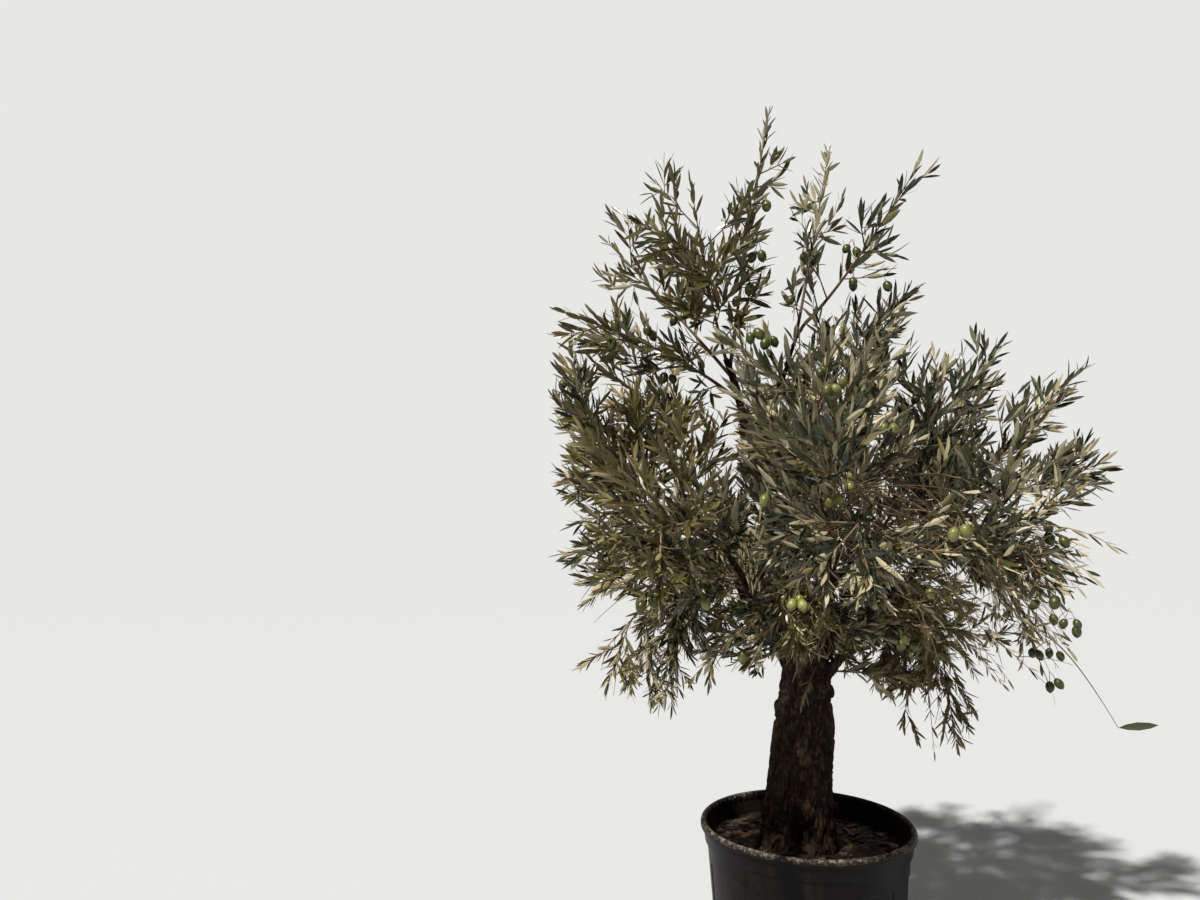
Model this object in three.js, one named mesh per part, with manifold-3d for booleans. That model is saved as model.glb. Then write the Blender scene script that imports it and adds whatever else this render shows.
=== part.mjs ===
// Olive tree standing in a nursery pot, put together the way the real plant is.
// Units are millimetres, +Z is up, and the origin is the middle of the pot's flat underside.
// Its front faces -Y: the long right arm reaches along +X and the leader stands a little left of the trunk.
import * as THREE from "three";
import { mergeVertices } from "three/addons/utils/BufferGeometryUtils.js";
import Module from "manifold-3d";

const wasm = await Module();
wasm.setup();
const { Manifold } = wasm;
const vec = (x, y, z) => new THREE.Vector3(x, y, z);

// Pot: a rolled lip, a plain collar and its step, then a tapering wall with shallow upright panels.
const POT_HEIGHT = 520;
const LIP_RADIUS = 358;
const LIP_HEIGHT = 28;
const COLLAR_RADIUS = 347;
const COLLAR_HEIGHT = 46;
const WALL_TOP_RADIUS = 335;
const BASE_RADIUS = 300;
const WALL_THICKNESS = 6;
const FLOOR_THICKNESS = 8;
const POT_SIDES = 40;
const PANEL_COUNT = 8;
const PANEL_DEPTH = 5;
const PANEL_TOP = 392;
const PANEL_FOOT = 34;
const DRAIN_COUNT = 8;
const DRAIN_WIDTH = 34;
const DRAIN_HEIGHT = 12;

// Soil fills the pot to a little under its lip, and the trunk's flat cut stands on it.
const SOIL_LEVEL = 450;
const FIT_GAP = 0.3;

// Trunk: short, thick and gnarled, with a slight root flare and a rounded, knobbly head.
const TRUNK_FOOT = vec(-28, 0, SOIL_LEVEL + FIT_GAP);
const TRUNK_BEND = vec(4, 0, 800);
const TRUNK_HEAD = vec(8, 0, 1110);
const TRUNK_RADIUS = 119;
const TRUNK_TAPER = 54;
const TAPER_POWER = 1.5;
const FLARE = 17;
const FLARE_SPAN = 0.07;
const HEAD_SWELL = 8;
const HEAD_SPAN = 0.09;
const HEAD_ROUNDING = 0.35;
const TRUNK_SIDES = 22;
const TRUNK_STEPS = 12;
// Lumps run round the trunk in rings: how many to a ring, how deep, where they start and how far they wind.
const LUMPS = [
  { count: 3, depth: 0.06, start: 1.3, wind: 1.6 },
  { count: 5, depth: 0.045, start: 4.0, wind: -2.4 },
  { count: 8, depth: 0.025, start: 0.4, wind: 3.5 },
];

// A bough leaves its parent at a share of the parent's length, bends once and ends where its foliage begins.
const bough = (name, on, at, bend, tip, radius) => ({ name, on, at, bend, tip, radius });
const BOUGHS = [
  bough("bough_leader", "trunk", 0.97, [-78, 20, 1640], [-260, 0, 2105], [32, 12]),
  bough("bough_centre", "trunk", 0.97, [122, -50, 1480], [87, -40, 1700], [25, 10]),
  bough("bough_right", "trunk", 0.88, [192, 10, 1330], [572, -10, 1640], [28, 10]),
  bough("bough_left", "trunk", 0.87, [-178, 10, 1320], [-428, 0, 1580], [26, 10]),
  bough("bough_front", "trunk", 0.9, [22, -170, 1330], [32, -420, 1490], [25, 9]),
  bough("bough_back", "trunk", 0.89, [12, 180, 1340], [22, 430, 1510], [25, 9]),
  bough("bough_front_right", "trunk", 0.76, [162, -150, 1240], [352, -330, 1430], [22, 9]),
  bough("bough_front_left", "trunk", 0.74, [-148, -150, 1230], [-318, -330, 1450], [22, 9]),
  bough("bough_back_left", "trunk", 0.76, [-138, 160, 1250], [-308, 340, 1470], [22, 9]),
  bough("bough_back_right", "trunk", 0.75, [172, 160, 1240], [352, 330, 1450], [22, 9]),
  bough("bough_upper_right", "bough_leader", 0.62, [-108, 0, 2010], [22, 0, 2230], [14, 7]),
];
const BOUGH_SIDES = 6;
const BOUGH_STEPS = 7;
const BOUGH_SET_OUT = 0.45;
const BOUGH_SWAY = 0.028;
const BOUGH_TAPER_POWER = 1.4;

// A mass of foliage has one stem, which leaves a bough at a share of its length and runs to the mass's tip.
// Reach is how far its sprays spread from that stem, and lift raises the middle of the stem's own curve.
const mass = (name, on, at, tip, reach, lift, sprays, olives) => {
  return { name, on, at, tip, reach, lift, sprays, olives };
};
const MASSES = [
  mass("foliage_left", "bough_left", 1, [-845, -20, 1867], 230, 0, 3, 0),
  mass("foliage_left_low", "bough_left", 0.55, [-688, -60, 1100], 230, 170, 3, 0),
  mass("foliage_front_left", "bough_front_left", 1, [-588, -640, 1520], 240, 60, 3, 0),
  mass("foliage_front", "bough_front", 1, [-48, -880, 1500], 250, 80, 3, 0),
  mass("foliage_front_right", "bough_front_right", 1, [525, -570, 1510], 205, 60, 3, 0),
  mass("foliage_right", "bough_right", 0.9, [1060, -40, 1661], 145, 30, 4, 1),
  mass("foliage_right_low", "bough_right", 0.5, [572, 80, 950], 220, 160, 3, 0),
  mass("foliage_back_right", "bough_back_right", 1, [652, 620, 1560], 240, 60, 3, 0),
  mass("foliage_back", "bough_back", 1, [32, 880, 1500], 250, 80, 3, 0),
  mass("foliage_back_left", "bough_back_left", 1, [-588, 640, 1560], 240, 60, 3, 0),
  mass("foliage_front_low", "bough_front", 0.55, [-330, -560, 1200], 170, 110, 3, 0),
  mass("foliage_back_low", "bough_back", 0.55, [112, 600, 1060], 210, 130, 3, 0),
  mass("foliage_centre", "bough_centre", 1, [162, -30, 2255], 170, 0, 3, 0),
  mass("foliage_upper_front", "bough_front", 0.85, [-68, -460, 2010], 230, 0, 3, 0),
  mass("foliage_upper_back", "bough_back", 0.85, [72, 500, 2040], 230, 0, 3, 0),
  mass("foliage_shoulder_left", "bough_left", 0.9, [-551, 190, 2220], 200, 0, 3, 1),
  mass("foliage_shoulder_right", "bough_right", 0.66, [470, -90, 2005], 175, 0, 3, 0),
  mass("foliage_shoulder_far", "bough_back_right", 0.9, [700, 170, 2040], 150, 40, 3, 0),
  mass("foliage_right_arm", "bough_right", 1, [930, 0, 2015], 110, 0, 4, 0),
  mass("foliage_right_droop", "bough_right", 0.78, [820, -60, 960], 140, 330, 4, 2),
  mass("foliage_far_left", "bough_leader", 0.84, [-825, -200, 2225], 115, 50, 4, 1),
  mass("foliage_upper_left", "bough_leader", 0.92, [-667, 330, 2615], 140, 0, 4, 1),
  mass("foliage_top_left", "bough_leader", 1, [-409, -330, 2590], 150, 0, 4, 0),
  mass("foliage_leader", "bough_leader", 0.96, [-91, 0, 3020], 100, -40, 5, 2),
  mass("foliage_top_middle", "bough_upper_right", 0.85, [204, 330, 3000], 110, 0, 4, 0),
  mass("foliage_top_right", "bough_upper_right", 1, [325, -280, 2675], 120, -60, 4, 2),
  mass("foliage_right_up", "bough_centre", 0.85, [375, 300, 2320], 110, 0, 4, 0),
];
const STEM_RADIUS = [7, 4.5];
const STEM_STEPS = 3;
const STEM_BEND = 0.4;
const STEM_AHEAD = 0.25;
const TIP_STEM_PULL = 0.45;
const SIDE_STEM_PULL = 0.15;

// Sprays stand round their stem. Each is a flat twig with paired blades, and a blade stands for some leaves.
const GOLDEN_TURN = 2.39996;
const SPRAY_FIRST = 0.15;
const SPRAY_BASE = 80;
const SPRAY_WIDTH = 6;
const SPRAY_BARE = 0.3;
const SPRAY_LAST_SINK = 25;
const PAIR_RUN = 190;
const BLADE_SHARE = 0.4;
const BLADE_BASE = 32;
const BLADE_WIDTH = 0.18;
const BLADE_LEAN = 0.54;
const BLADE_THICKNESS = 2.6;
// A spray is tried long first, then shorter, turned three ways round its stem each time, until one has room.
const SPRAY_TRIES = [1.2, 1, 0.8, 0.6].flatMap((part) => [0, 1.1, -1.1].map((turn) => ({ part, turn })));
const OLIVE_RADIUS = 12;
const OLIVE_LENGTH = 16;

// A mass keeps to its own space: away from limbs, and nearer its own stem than any other, each by its reach.
const LIMB_MARGIN = 6;
const SPACE_MARGIN = 0.03;
const SPACE_EDGE = 1.25;
const WALK = 16;

const COLOURS = {
  pot: [0x34353a, 0.6],
  soil: [0x4a3a2c, 0.95],
  bark: [0x5b4a3c, 0.9],
  leaf: [0x6f7a57, 0.55],
};

// Limbs made so far, by name: the trunk first, then each bough.
const limbs = new Map();

// A closed geometry as a solid, and a solid back as a geometry with flat faces.
function solidOf(geometry) {
  const bare = geometry.clone();
  bare.deleteAttribute("normal");
  bare.deleteAttribute("uv");
  const merged = mergeVertices(bare, 1e-4);
  const vertProperties = merged.attributes.position.array;
  const triVerts = new Uint32Array(merged.index.array);
  return new Manifold(new wasm.Mesh({ numProp: 3, vertProperties, triVerts }));
}

function geometryOf(solid) {
  const surface = solid.getMesh();
  const geometry = new THREE.BufferGeometry();
  geometry.setAttribute("position", new THREE.BufferAttribute(surface.vertProperties, 3));
  geometry.setIndex(new THREE.BufferAttribute(surface.triVerts, 1));
  const flat = geometry.toNonIndexed();
  flat.computeVertexNormals();
  return flat;
}

// A row of seeded numbers from 0 to 1, the same on every run.
function seeded(seed) {
  let state = seed >>> 0;
  return () => {
    state = (Math.imul(state, 1664525) + 1013904223) >>> 0;
    return state / 4294967296;
  };
}

// The frame axis that a direction follows least.
function leastAxis(direction) {
  const [x, y, z] = direction.toArray().map(Math.abs);
  if (x <= y && x <= z) {
    return vec(1, 0, 0);
  }
  return y <= z ? vec(0, 1, 0) : vec(0, 0, 1);
}

// A direction square to another one, turned by an angle round it. The reference says where the angle starts.
function turned(direction, angle, reference = leastAxis(direction)) {
  const side = direction.clone().cross(reference).normalize();
  const other = direction.clone().cross(side).normalize();
  return side.multiplyScalar(Math.cos(angle)).addScaledVector(other, Math.sin(angle));
}

// The middle line of a bough: one bend, with a slight sway that dies away at both ends.
class BoughLine extends THREE.Curve {
  constructor(start, bend, tip, phase) {
    super();
    this.line = new THREE.QuadraticBezierCurve3(start, bend, tip);
    this.sway = BOUGH_SWAY * start.distanceTo(tip);
    this.phase = phase;
  }

  getPoint(share, target = vec(0, 0, 0)) {
    const swing = this.sway * Math.sin(Math.PI * share);
    this.line.getPoint(share, target);
    target.x += swing * Math.sin(7 * share + this.phase);
    target.y += swing * Math.cos(6 * share + 1.7 * this.phase);
    return target;
  }
}

// A closed tapering tube: a cylinder whose rings are moved on to a curve, thicker all over by grow.
function tube(curve, radiusAt, sides, steps, grow = 0) {
  const geometry = new THREE.CylinderGeometry(1, 1, 1, sides, steps);
  const position = geometry.attributes.position;
  const reference = leastAxis(curve.getPoint(1).sub(curve.getPoint(0)));
  for (let i = 0; i < position.count; i++) {
    const share = Math.min(1, Math.max(0, 0.5 - position.getY(i)));
    const along = curve.getTangent(share);
    const angle = Math.atan2(position.getZ(i), position.getX(i));
    const middle = Math.hypot(position.getX(i), position.getZ(i));
    const point = curve.getPoint(share);
    point.addScaledVector(turned(along, angle, reference), middle * (radiusAt(share, angle) + grow));
    point.addScaledVector(along, share === 1 ? grow : 0);
    position.setXYZ(i, point.x, point.y, point.z);
  }
  return solidOf(geometry);
}

// What is left of a piece once every limb made before it is cut away with its fit gap: the largest body.
function cutClear(solid) {
  let left = solid;
  for (const limb of limbs.values()) {
    left = left.subtract(limb.clear);
  }
  return left.decompose().reduce((a, b) => (a.volume() > b.volume() ? a : b));
}

const COLLAR_TOP = POT_HEIGHT - LIP_HEIGHT;
const COLLAR_FOOT = COLLAR_TOP - COLLAR_HEIGHT;
const wallRadius = (z) => BASE_RADIUS + ((WALL_TOP_RADIUS - BASE_RADIUS) * z) / COLLAR_FOOT;

function turnedSolid(outline, sides) {
  const points = outline.map(([radius, z]) => new THREE.Vector2(radius, z));
  return new THREE.LatheGeometry(points, sides).rotateX(Math.PI / 2);
}

function pot() {
  const outline = [
    [0, 0],
    [BASE_RADIUS, 0],
    [wallRadius(PANEL_FOOT), PANEL_FOOT],
    [wallRadius(PANEL_FOOT + PANEL_DEPTH), PANEL_FOOT + PANEL_DEPTH],
    [wallRadius(PANEL_TOP - PANEL_DEPTH), PANEL_TOP - PANEL_DEPTH],
    [wallRadius(PANEL_TOP), PANEL_TOP],
    [WALL_TOP_RADIUS, COLLAR_FOOT],
    [COLLAR_RADIUS - 4, COLLAR_FOOT + 4],
    [COLLAR_RADIUS, COLLAR_TOP],
    [LIP_RADIUS, COLLAR_TOP + 6],
    [LIP_RADIUS - 2, POT_HEIGHT - 7],
    [LIP_RADIUS - 10, POT_HEIGHT],
    [COLLAR_RADIUS - WALL_THICKNESS, POT_HEIGHT - 5],
    [WALL_TOP_RADIUS - WALL_THICKNESS, COLLAR_FOOT],
    [wallRadius(FLOOR_THICKNESS) - WALL_THICKNESS, FLOOR_THICKNESS],
    [0, FLOOR_THICKNESS],
  ];
  const geometry = turnedSolid(outline, POT_SIDES);
  const position = geometry.attributes.position;
  const panelSides = POT_SIDES / PANEL_COUNT;
  for (let i = 0; i < position.count; i++) {
    const side = Math.floor(i / outline.length) % POT_SIDES;
    const z = position.getZ(i);
    const radius = Math.hypot(position.getX(i), position.getY(i));
    const isOutside = radius > wallRadius(z) - 1;
    const isPanel = z > PANEL_FOOT + 1 && z < PANEL_TOP - 1 && side % panelSides > 0;
    if (isOutside && isPanel) {
      const pressed = (radius - PANEL_DEPTH / 2) / radius;
      position.setXY(i, position.getX(i) * pressed, position.getY(i) * pressed);
    }
  }
  let shell = solidOf(geometry);
  for (let i = 0; i < DRAIN_COUNT; i++) {
    const slot = new THREE.BoxGeometry(40, DRAIN_WIDTH, DRAIN_HEIGHT * 2).translate(BASE_RADIUS, 0, 0);
    shell = shell.subtract(solidOf(slot.rotateZ((2 * Math.PI * (i + 0.5)) / DRAIN_COUNT)));
  }
  return shell;
}

function soil() {
  const clear = WALL_THICKNESS + FIT_GAP + PANEL_DEPTH / 2;
  const low = FLOOR_THICKNESS + FIT_GAP;
  const outline = [
    [0, low],
    [wallRadius(low) - clear, low],
    [WALL_TOP_RADIUS - clear, COLLAR_FOOT],
    [WALL_TOP_RADIUS - clear, SOIL_LEVEL],
    [0, SOIL_LEVEL],
  ];
  return solidOf(turnedSolid(outline, POT_SIDES / 2));
}

function trunkRadius(share, angle) {
  let radius = TRUNK_RADIUS - TRUNK_TAPER * share ** TAPER_POWER;
  radius += FLARE * Math.exp(-share / FLARE_SPAN);
  radius += HEAD_SWELL * Math.exp(-(((share - 0.93) / HEAD_SPAN) ** 2));
  radius *= 1 - HEAD_ROUNDING * Math.max(0, (share - 0.9) / 0.1) ** 2;
  for (const lump of LUMPS) {
    radius *= 1 + lump.depth * Math.sin(lump.count * angle + lump.start + lump.wind * share);
  }
  return radius;
}

// The trunk leans a little, so what would dip under the soil's level is cut off flat.
function addTrunk() {
  const curve = new THREE.QuadraticBezierCurve3(TRUNK_FOOT, TRUNK_BEND, TRUNK_HEAD);
  const below = new THREE.BoxGeometry(800, 800, 200).translate(0, 0, TRUNK_FOOT.z - 100);
  const solid = tube(curve, trunkRadius, TRUNK_SIDES, TRUNK_STEPS).subtract(solidOf(below));
  const clear = tube(curve, trunkRadius, TRUNK_SIDES, TRUNK_STEPS, FIT_GAP);
  limbs.set("trunk", { curve, radiusAt: trunkRadius, solid, clear });
}

function addBough({ name, on, at, bend, tip, radius: [thick, thin] }, index) {
  const parent = limbs.get(on);
  const start = parent.curve.getPoint(at);
  const aim = vec(...bend).sub(start).setZ(0).normalize();
  start.addScaledVector(aim, BOUGH_SET_OUT * parent.radiusAt(at, 0));
  const curve = new BoughLine(start, vec(...bend), vec(...tip), index);
  const radiusAt = (share) => thin + (thick - thin) * (1 - share) ** BOUGH_TAPER_POWER;
  const solid = cutClear(tube(curve, radiusAt, BOUGH_SIDES, BOUGH_STEPS));
  const clear = tube(curve, radiusAt, BOUGH_SIDES, BOUGH_STEPS, FIT_GAP);
  limbs.set(name, { curve, radiusAt, solid, clear });
}

// The stem of a mass goes on the way its bough points, then bends to the mass's tip.
function stemCurve({ on, at, tip, lift }) {
  const { curve } = limbs.get(on);
  const start = curve.getPoint(at);
  const end = vec(...tip);
  const ahead = curve.getTangent(at).multiplyScalar(STEM_AHEAD * start.distanceTo(end)).add(start);
  const bend = start.clone().lerp(end, STEM_BEND).lerp(ahead, at === 1 ? TIP_STEM_PULL : SIDE_STEM_PULL);
  bend.z += lift;
  return new THREE.QuadraticBezierCurve3(start, bend, end);
}

// How far a point lies from a curve, and where along the curve it is nearest, by a walk in even steps.
function nearest(curve, point) {
  let best = { distance: Infinity, share: 0 };
  for (let i = 0; i <= WALK; i++) {
    const distance = curve.getPoint(i / WALK).distanceTo(point);
    if (distance < best.distance) {
      best = { distance, share: i / WALK };
    }
  }
  return best;
}

function isFree(point, own) {
  const mine = nearest(own.curve, point).distance / own.reach;
  if (mine > SPACE_EDGE) {
    return false;
  }
  const isNearerOwn = stems.every((other) => {
    return other === own || nearest(other.curve, point).distance / other.reach > mine + SPACE_MARGIN;
  });
  const isClearOfLimbs = [...limbs.values()].every((limb) => {
    const { distance, share } = nearest(limb.curve, point);
    return distance > limb.radiusAt(share, 0) * 1.25 + LIMB_MARGIN;
  });
  return isNearerOwn && isClearOfLimbs;
}

// One spray, drawn in its own plane from root to tip. A blade that would leave the mass's space is left out.
function spray(root, heading, side, length, rootHalf, isOpen) {
  const half = SPRAY_WIDTH / 2;
  const blade = BLADE_SHARE * length + BLADE_BASE;
  const belly = (blade * BLADE_WIDTH) / 2;
  const pairs = length > PAIR_RUN ? 2 : 1;
  const spacing = (length * (1 - SPRAY_BARE) - 0.6 * blade) / pairs;
  const edge = (way) => {
    const points = [];
    for (let pair = 0; pair < pairs; pair++) {
      const foot = length * SPRAY_BARE + spacing * (pair + (way > 0 ? 0.25 : 0));
      const place = (along, out) => [
        foot + along * Math.cos(BLADE_LEAN) - out * Math.sin(BLADE_LEAN),
        way * (half + along * Math.sin(BLADE_LEAN) + out * Math.cos(BLADE_LEAN)),
      ];
      const inSpace = ([x, y]) => root.clone().addScaledVector(heading, x).addScaledVector(side, y);
      if ([blade / 2, blade].every((along) => isOpen(inSpace(place(along, 0))))) {
        points.push([foot - half, way * half], place(blade / 2, belly), place(blade, 0));
        points.push(place(blade / 2, -belly), [foot + half, way * half]);
      }
    }
    return points;
  };
  const outline = [
    [-rootHalf, -rootHalf],
    ...edge(-1),
    [length - blade / 2, -belly],
    [length, 0],
    [length - blade / 2, belly],
    ...edge(1).reverse(),
    [-rootHalf, rootHalf],
  ];
  const shape = new THREE.Shape(outline.map(([x, y]) => new THREE.Vector2(x, y)));
  const geometry = new THREE.ExtrudeGeometry(shape, { depth: BLADE_THICKNESS, bevelEnabled: false });
  const up = heading.clone().cross(side).normalize();
  geometry.translate(0, 0, -BLADE_THICKNESS / 2);
  geometry.applyMatrix4(new THREE.Matrix4().makeBasis(heading, side, up).setPosition(root));
  return solidOf(geometry);
}

// An olive hangs against a spray's bare foot.
function olive(root, heading, length) {
  const geometry = new THREE.IcosahedronGeometry(1, 0).scale(OLIVE_RADIUS, OLIVE_RADIUS, OLIVE_LENGTH);
  const foot = root.clone().addScaledVector(heading, 0.8 * SPRAY_BARE * length);
  return solidOf(geometry.translate(foot.x, foot.y, foot.z - OLIVE_LENGTH * 0.8));
}

function foliage(own, seed) {
  const random = seeded(seed);
  const isOpen = (point) => isFree(point, own);
  const span = own.curve.getLength();
  const stemEnd = 1 - Math.min(own.reach + 90, 0.5 * span) / span;
  const stem = new THREE.QuadraticBezierCurve3(
    own.curve.v0,
    own.curve.v0.clone().lerp(own.curve.v1, stemEnd),
    own.curve.getPoint(stemEnd),
  );
  const stemRadius = (share) => STEM_RADIUS[0] + (STEM_RADIUS[1] - STEM_RADIUS[0]) * share;
  const pieces = [tube(stem, stemRadius, 3, STEM_STEPS)];
  let olives = own.olives;
  for (let i = 0; i < own.sprays; i++) {
    const share = SPRAY_FIRST + ((stemEnd - 0.1) * (i + 0.5 * random())) / own.sprays;
    const root = own.curve.getPoint(share);
    const ahead = own.curve.getTangent(share);
    const firstTurn = i * GOLDEN_TURN + random();
    const roll = Math.PI * random();
    for (const { part, turn } of SPRAY_TRIES) {
      const heading = turned(ahead, firstTurn + turn).addScaledVector(ahead, 0.7).normalize();
      const length = part * own.reach + SPRAY_BASE;
      if ([0.5, 0.75, 1].every((far) => isOpen(root.clone().addScaledVector(heading, length * far)))) {
        pieces.push(spray(root, heading, turned(heading, roll), length, SPRAY_WIDTH / 2 - 0.5, isOpen));
        if (olives > 0) {
          pieces.push(olive(root, heading, length));
          olives -= 1;
        }
        break;
      }
    }
  }
  const last = own.curve.getPoint(stemEnd);
  const rest = own.curve.getPoint(1).sub(last);
  const heading = rest.clone().normalize();
  last.addScaledVector(heading, -SPRAY_LAST_SINK);
  const side = turned(heading, Math.PI * random());
  pieces.push(spray(last, heading, side, rest.length() + SPRAY_LAST_SINK, 0.4, isOpen));
  return cutClear(Manifold.union(pieces));
}

const tree = new THREE.Group();
function addNode(name, solid, [color, roughness]) {
  const material = new THREE.MeshStandardMaterial({ color, roughness, metalness: 0 });
  const node = new THREE.Mesh(geometryOf(solid), material);
  node.name = name;
  tree.add(node);
}

addTrunk();
BOUGHS.forEach(addBough);
const stems = MASSES.map((own) => ({ ...own, curve: stemCurve(own) }));
addNode("pot", pot(), COLOURS.pot);
addNode("soil", soil(), COLOURS.soil);
for (const [name, limb] of limbs) {
  addNode(name, limb.solid, COLOURS.bark);
}
stems.forEach((own, index) => addNode(own.name, foliage(own, 1000 + 77 * index), COLOURS.leaf));

export default tree;
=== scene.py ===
import math

import bmesh
import bpy
import numpy as np
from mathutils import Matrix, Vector, noise


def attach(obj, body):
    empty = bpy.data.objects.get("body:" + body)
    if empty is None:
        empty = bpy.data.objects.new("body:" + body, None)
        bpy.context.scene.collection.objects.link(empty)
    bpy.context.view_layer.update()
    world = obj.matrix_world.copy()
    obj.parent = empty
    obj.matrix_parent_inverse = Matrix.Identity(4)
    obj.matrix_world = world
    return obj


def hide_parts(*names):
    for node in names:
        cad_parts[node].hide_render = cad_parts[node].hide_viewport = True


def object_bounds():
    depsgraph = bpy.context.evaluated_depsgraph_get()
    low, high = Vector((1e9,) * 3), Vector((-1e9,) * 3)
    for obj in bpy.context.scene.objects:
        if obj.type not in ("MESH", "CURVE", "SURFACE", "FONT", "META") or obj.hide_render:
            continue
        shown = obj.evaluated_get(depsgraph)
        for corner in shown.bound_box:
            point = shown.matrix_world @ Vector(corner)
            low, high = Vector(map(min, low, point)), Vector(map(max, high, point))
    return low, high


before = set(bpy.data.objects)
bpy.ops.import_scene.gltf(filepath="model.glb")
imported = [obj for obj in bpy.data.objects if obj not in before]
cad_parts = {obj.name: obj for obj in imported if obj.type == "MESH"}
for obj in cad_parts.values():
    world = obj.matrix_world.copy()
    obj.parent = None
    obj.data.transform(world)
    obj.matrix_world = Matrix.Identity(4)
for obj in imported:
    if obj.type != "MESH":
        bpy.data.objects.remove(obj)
cad_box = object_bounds()

MM = 0.001
TAU = 2 * math.pi

# Pot
POT_HEIGHT = 520
LIP_RADIUS = 358
LIP_HEIGHT = 28
COLLAR_RADIUS = 347
COLLAR_HEIGHT = 46
COLLAR_TOP = POT_HEIGHT - LIP_HEIGHT
COLLAR_FOOT = COLLAR_TOP - COLLAR_HEIGHT
WALL_TOP_RADIUS = 335
BASE_RADIUS = 300
WALL_THICKNESS = 6
FLOOR_THICKNESS = 8
PANEL_COUNT = 8
PANEL_TOP = 392
PANEL_FOOT = 34
PANEL_DEPTH = 2.5
DRAIN_WIDTH = 34
DRAIN_HEIGHT = 12
SOIL_LEVEL = 450
FIT_GAP = 0.3
FLOOR_RING = 30
FOOT_HOLLOW = 5
POT_EASING = 3.0
POT_FACES = 160
PANEL_SIDES = (0.11, 0.89)
DRAIN_DEPTH = 40
SOIL_FACES = 110
SOIL_LUMPS = ((5.0, 55), (3.0, 18), (2.0, 8))
SOIL_SETTLED = 5
EDGE_FALL = 6
EDGE_FROM = 260
EDGE_SPAN = 60
HEAP_FROM = 30
HEAP_SPAN = 40
CHIPS = 620
CHIP_REACH = 326
CHIP_SPREAD = 318
CHIP_CLEAR = 26
SMALL_CHIPS = (3, 13)
LARGE_CHIPS = (10, 20)
CHIP_TILT = 0.35

# Trunk
TRUNK_FOOT = (-28, 0, SOIL_LEVEL + FIT_GAP)
TRUNK_BEND = (4, 0, 800)
TRUNK_HEAD = (8, 0, 1110)
TRUNK_RADIUS = 119
TRUNK_TAPER = 54
TAPER_POWER = 1.5
FLARE = 17
FLARE_SPAN = 0.07
HEAD_SWELL = 8
HEAD_SPAN = 0.09
HEAD_PLACE = 0.93
HEAD_ROUNDING = 0.35
ROUNDING_FROM = 0.9
ROUNDING_SPAN = 0.1
LUMPS = [(3, 0.06, 1.3, 1.6), (5, 0.045, 4.0, -2.4), (8, 0.025, 0.4, 3.5)]

# Boughs: name, parent, share of the parent's length, bend, tip, radius at root and at tip
BOUGHS = [
    ("bough_leader", "trunk", 0.97, (-78, 20, 1640), (-260, 0, 2105), (32, 12)),
    ("bough_centre", "trunk", 0.97, (122, -50, 1480), (87, -40, 1700), (25, 10)),
    ("bough_right", "trunk", 0.88, (192, 10, 1330), (572, -10, 1640), (28, 10)),
    ("bough_left", "trunk", 0.87, (-178, 10, 1320), (-428, 0, 1580), (26, 10)),
    ("bough_front", "trunk", 0.9, (22, -170, 1330), (32, -420, 1490), (25, 9)),
    ("bough_back", "trunk", 0.89, (12, 180, 1340), (22, 430, 1510), (25, 9)),
    ("bough_front_right", "trunk", 0.76, (162, -150, 1240), (352, -330, 1430), (22, 9)),
    ("bough_front_left", "trunk", 0.74, (-148, -150, 1230), (-318, -330, 1450), (22, 9)),
    ("bough_back_left", "trunk", 0.76, (-138, 160, 1250), (-308, 340, 1470), (22, 9)),
    ("bough_back_right", "trunk", 0.75, (172, 160, 1240), (352, 330, 1450), (22, 9)),
    ("bough_upper_right", "bough_leader", 0.62, (-108, 0, 2010), (22, 0, 2230), (14, 7)),
]
# The line that a limb's middle follows, and how it sways
BOUGH_SET_OUT = 0.45
BOUGH_SWAY = 0.028
SWAY_TURNS = (7, 6)
SWAY_OFFSET = 1.7
BOUGH_TAPER_POWER = 1.4

# Wood and bark. A grain is the size of its marks across a limb and along it
FOOT_SINK = 30
KNOBS = 24
KNOB_SIZES = (26, 52)
KNOB_SINK = 0.64
ROOT_KNOB = (0.05, 1.3)
BOUGH_KNOB = 1.25
BOUGH_KNOB_SPAN = (0.3, 0.7)
CUT_KNOB = (-31, -64, 908)
CUT_KNOB_SIZE = 40
WOOD_CELL = 4.2
FLAKE_GRAIN = (15, 42)
FURROW_GRAIN = (44, 130)
BARK_DEPTH = 15.0
BARK_SWELL = 16.0
THIN_BARK_DEPTH = 1.8
THICK_WOOD = 80

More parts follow.
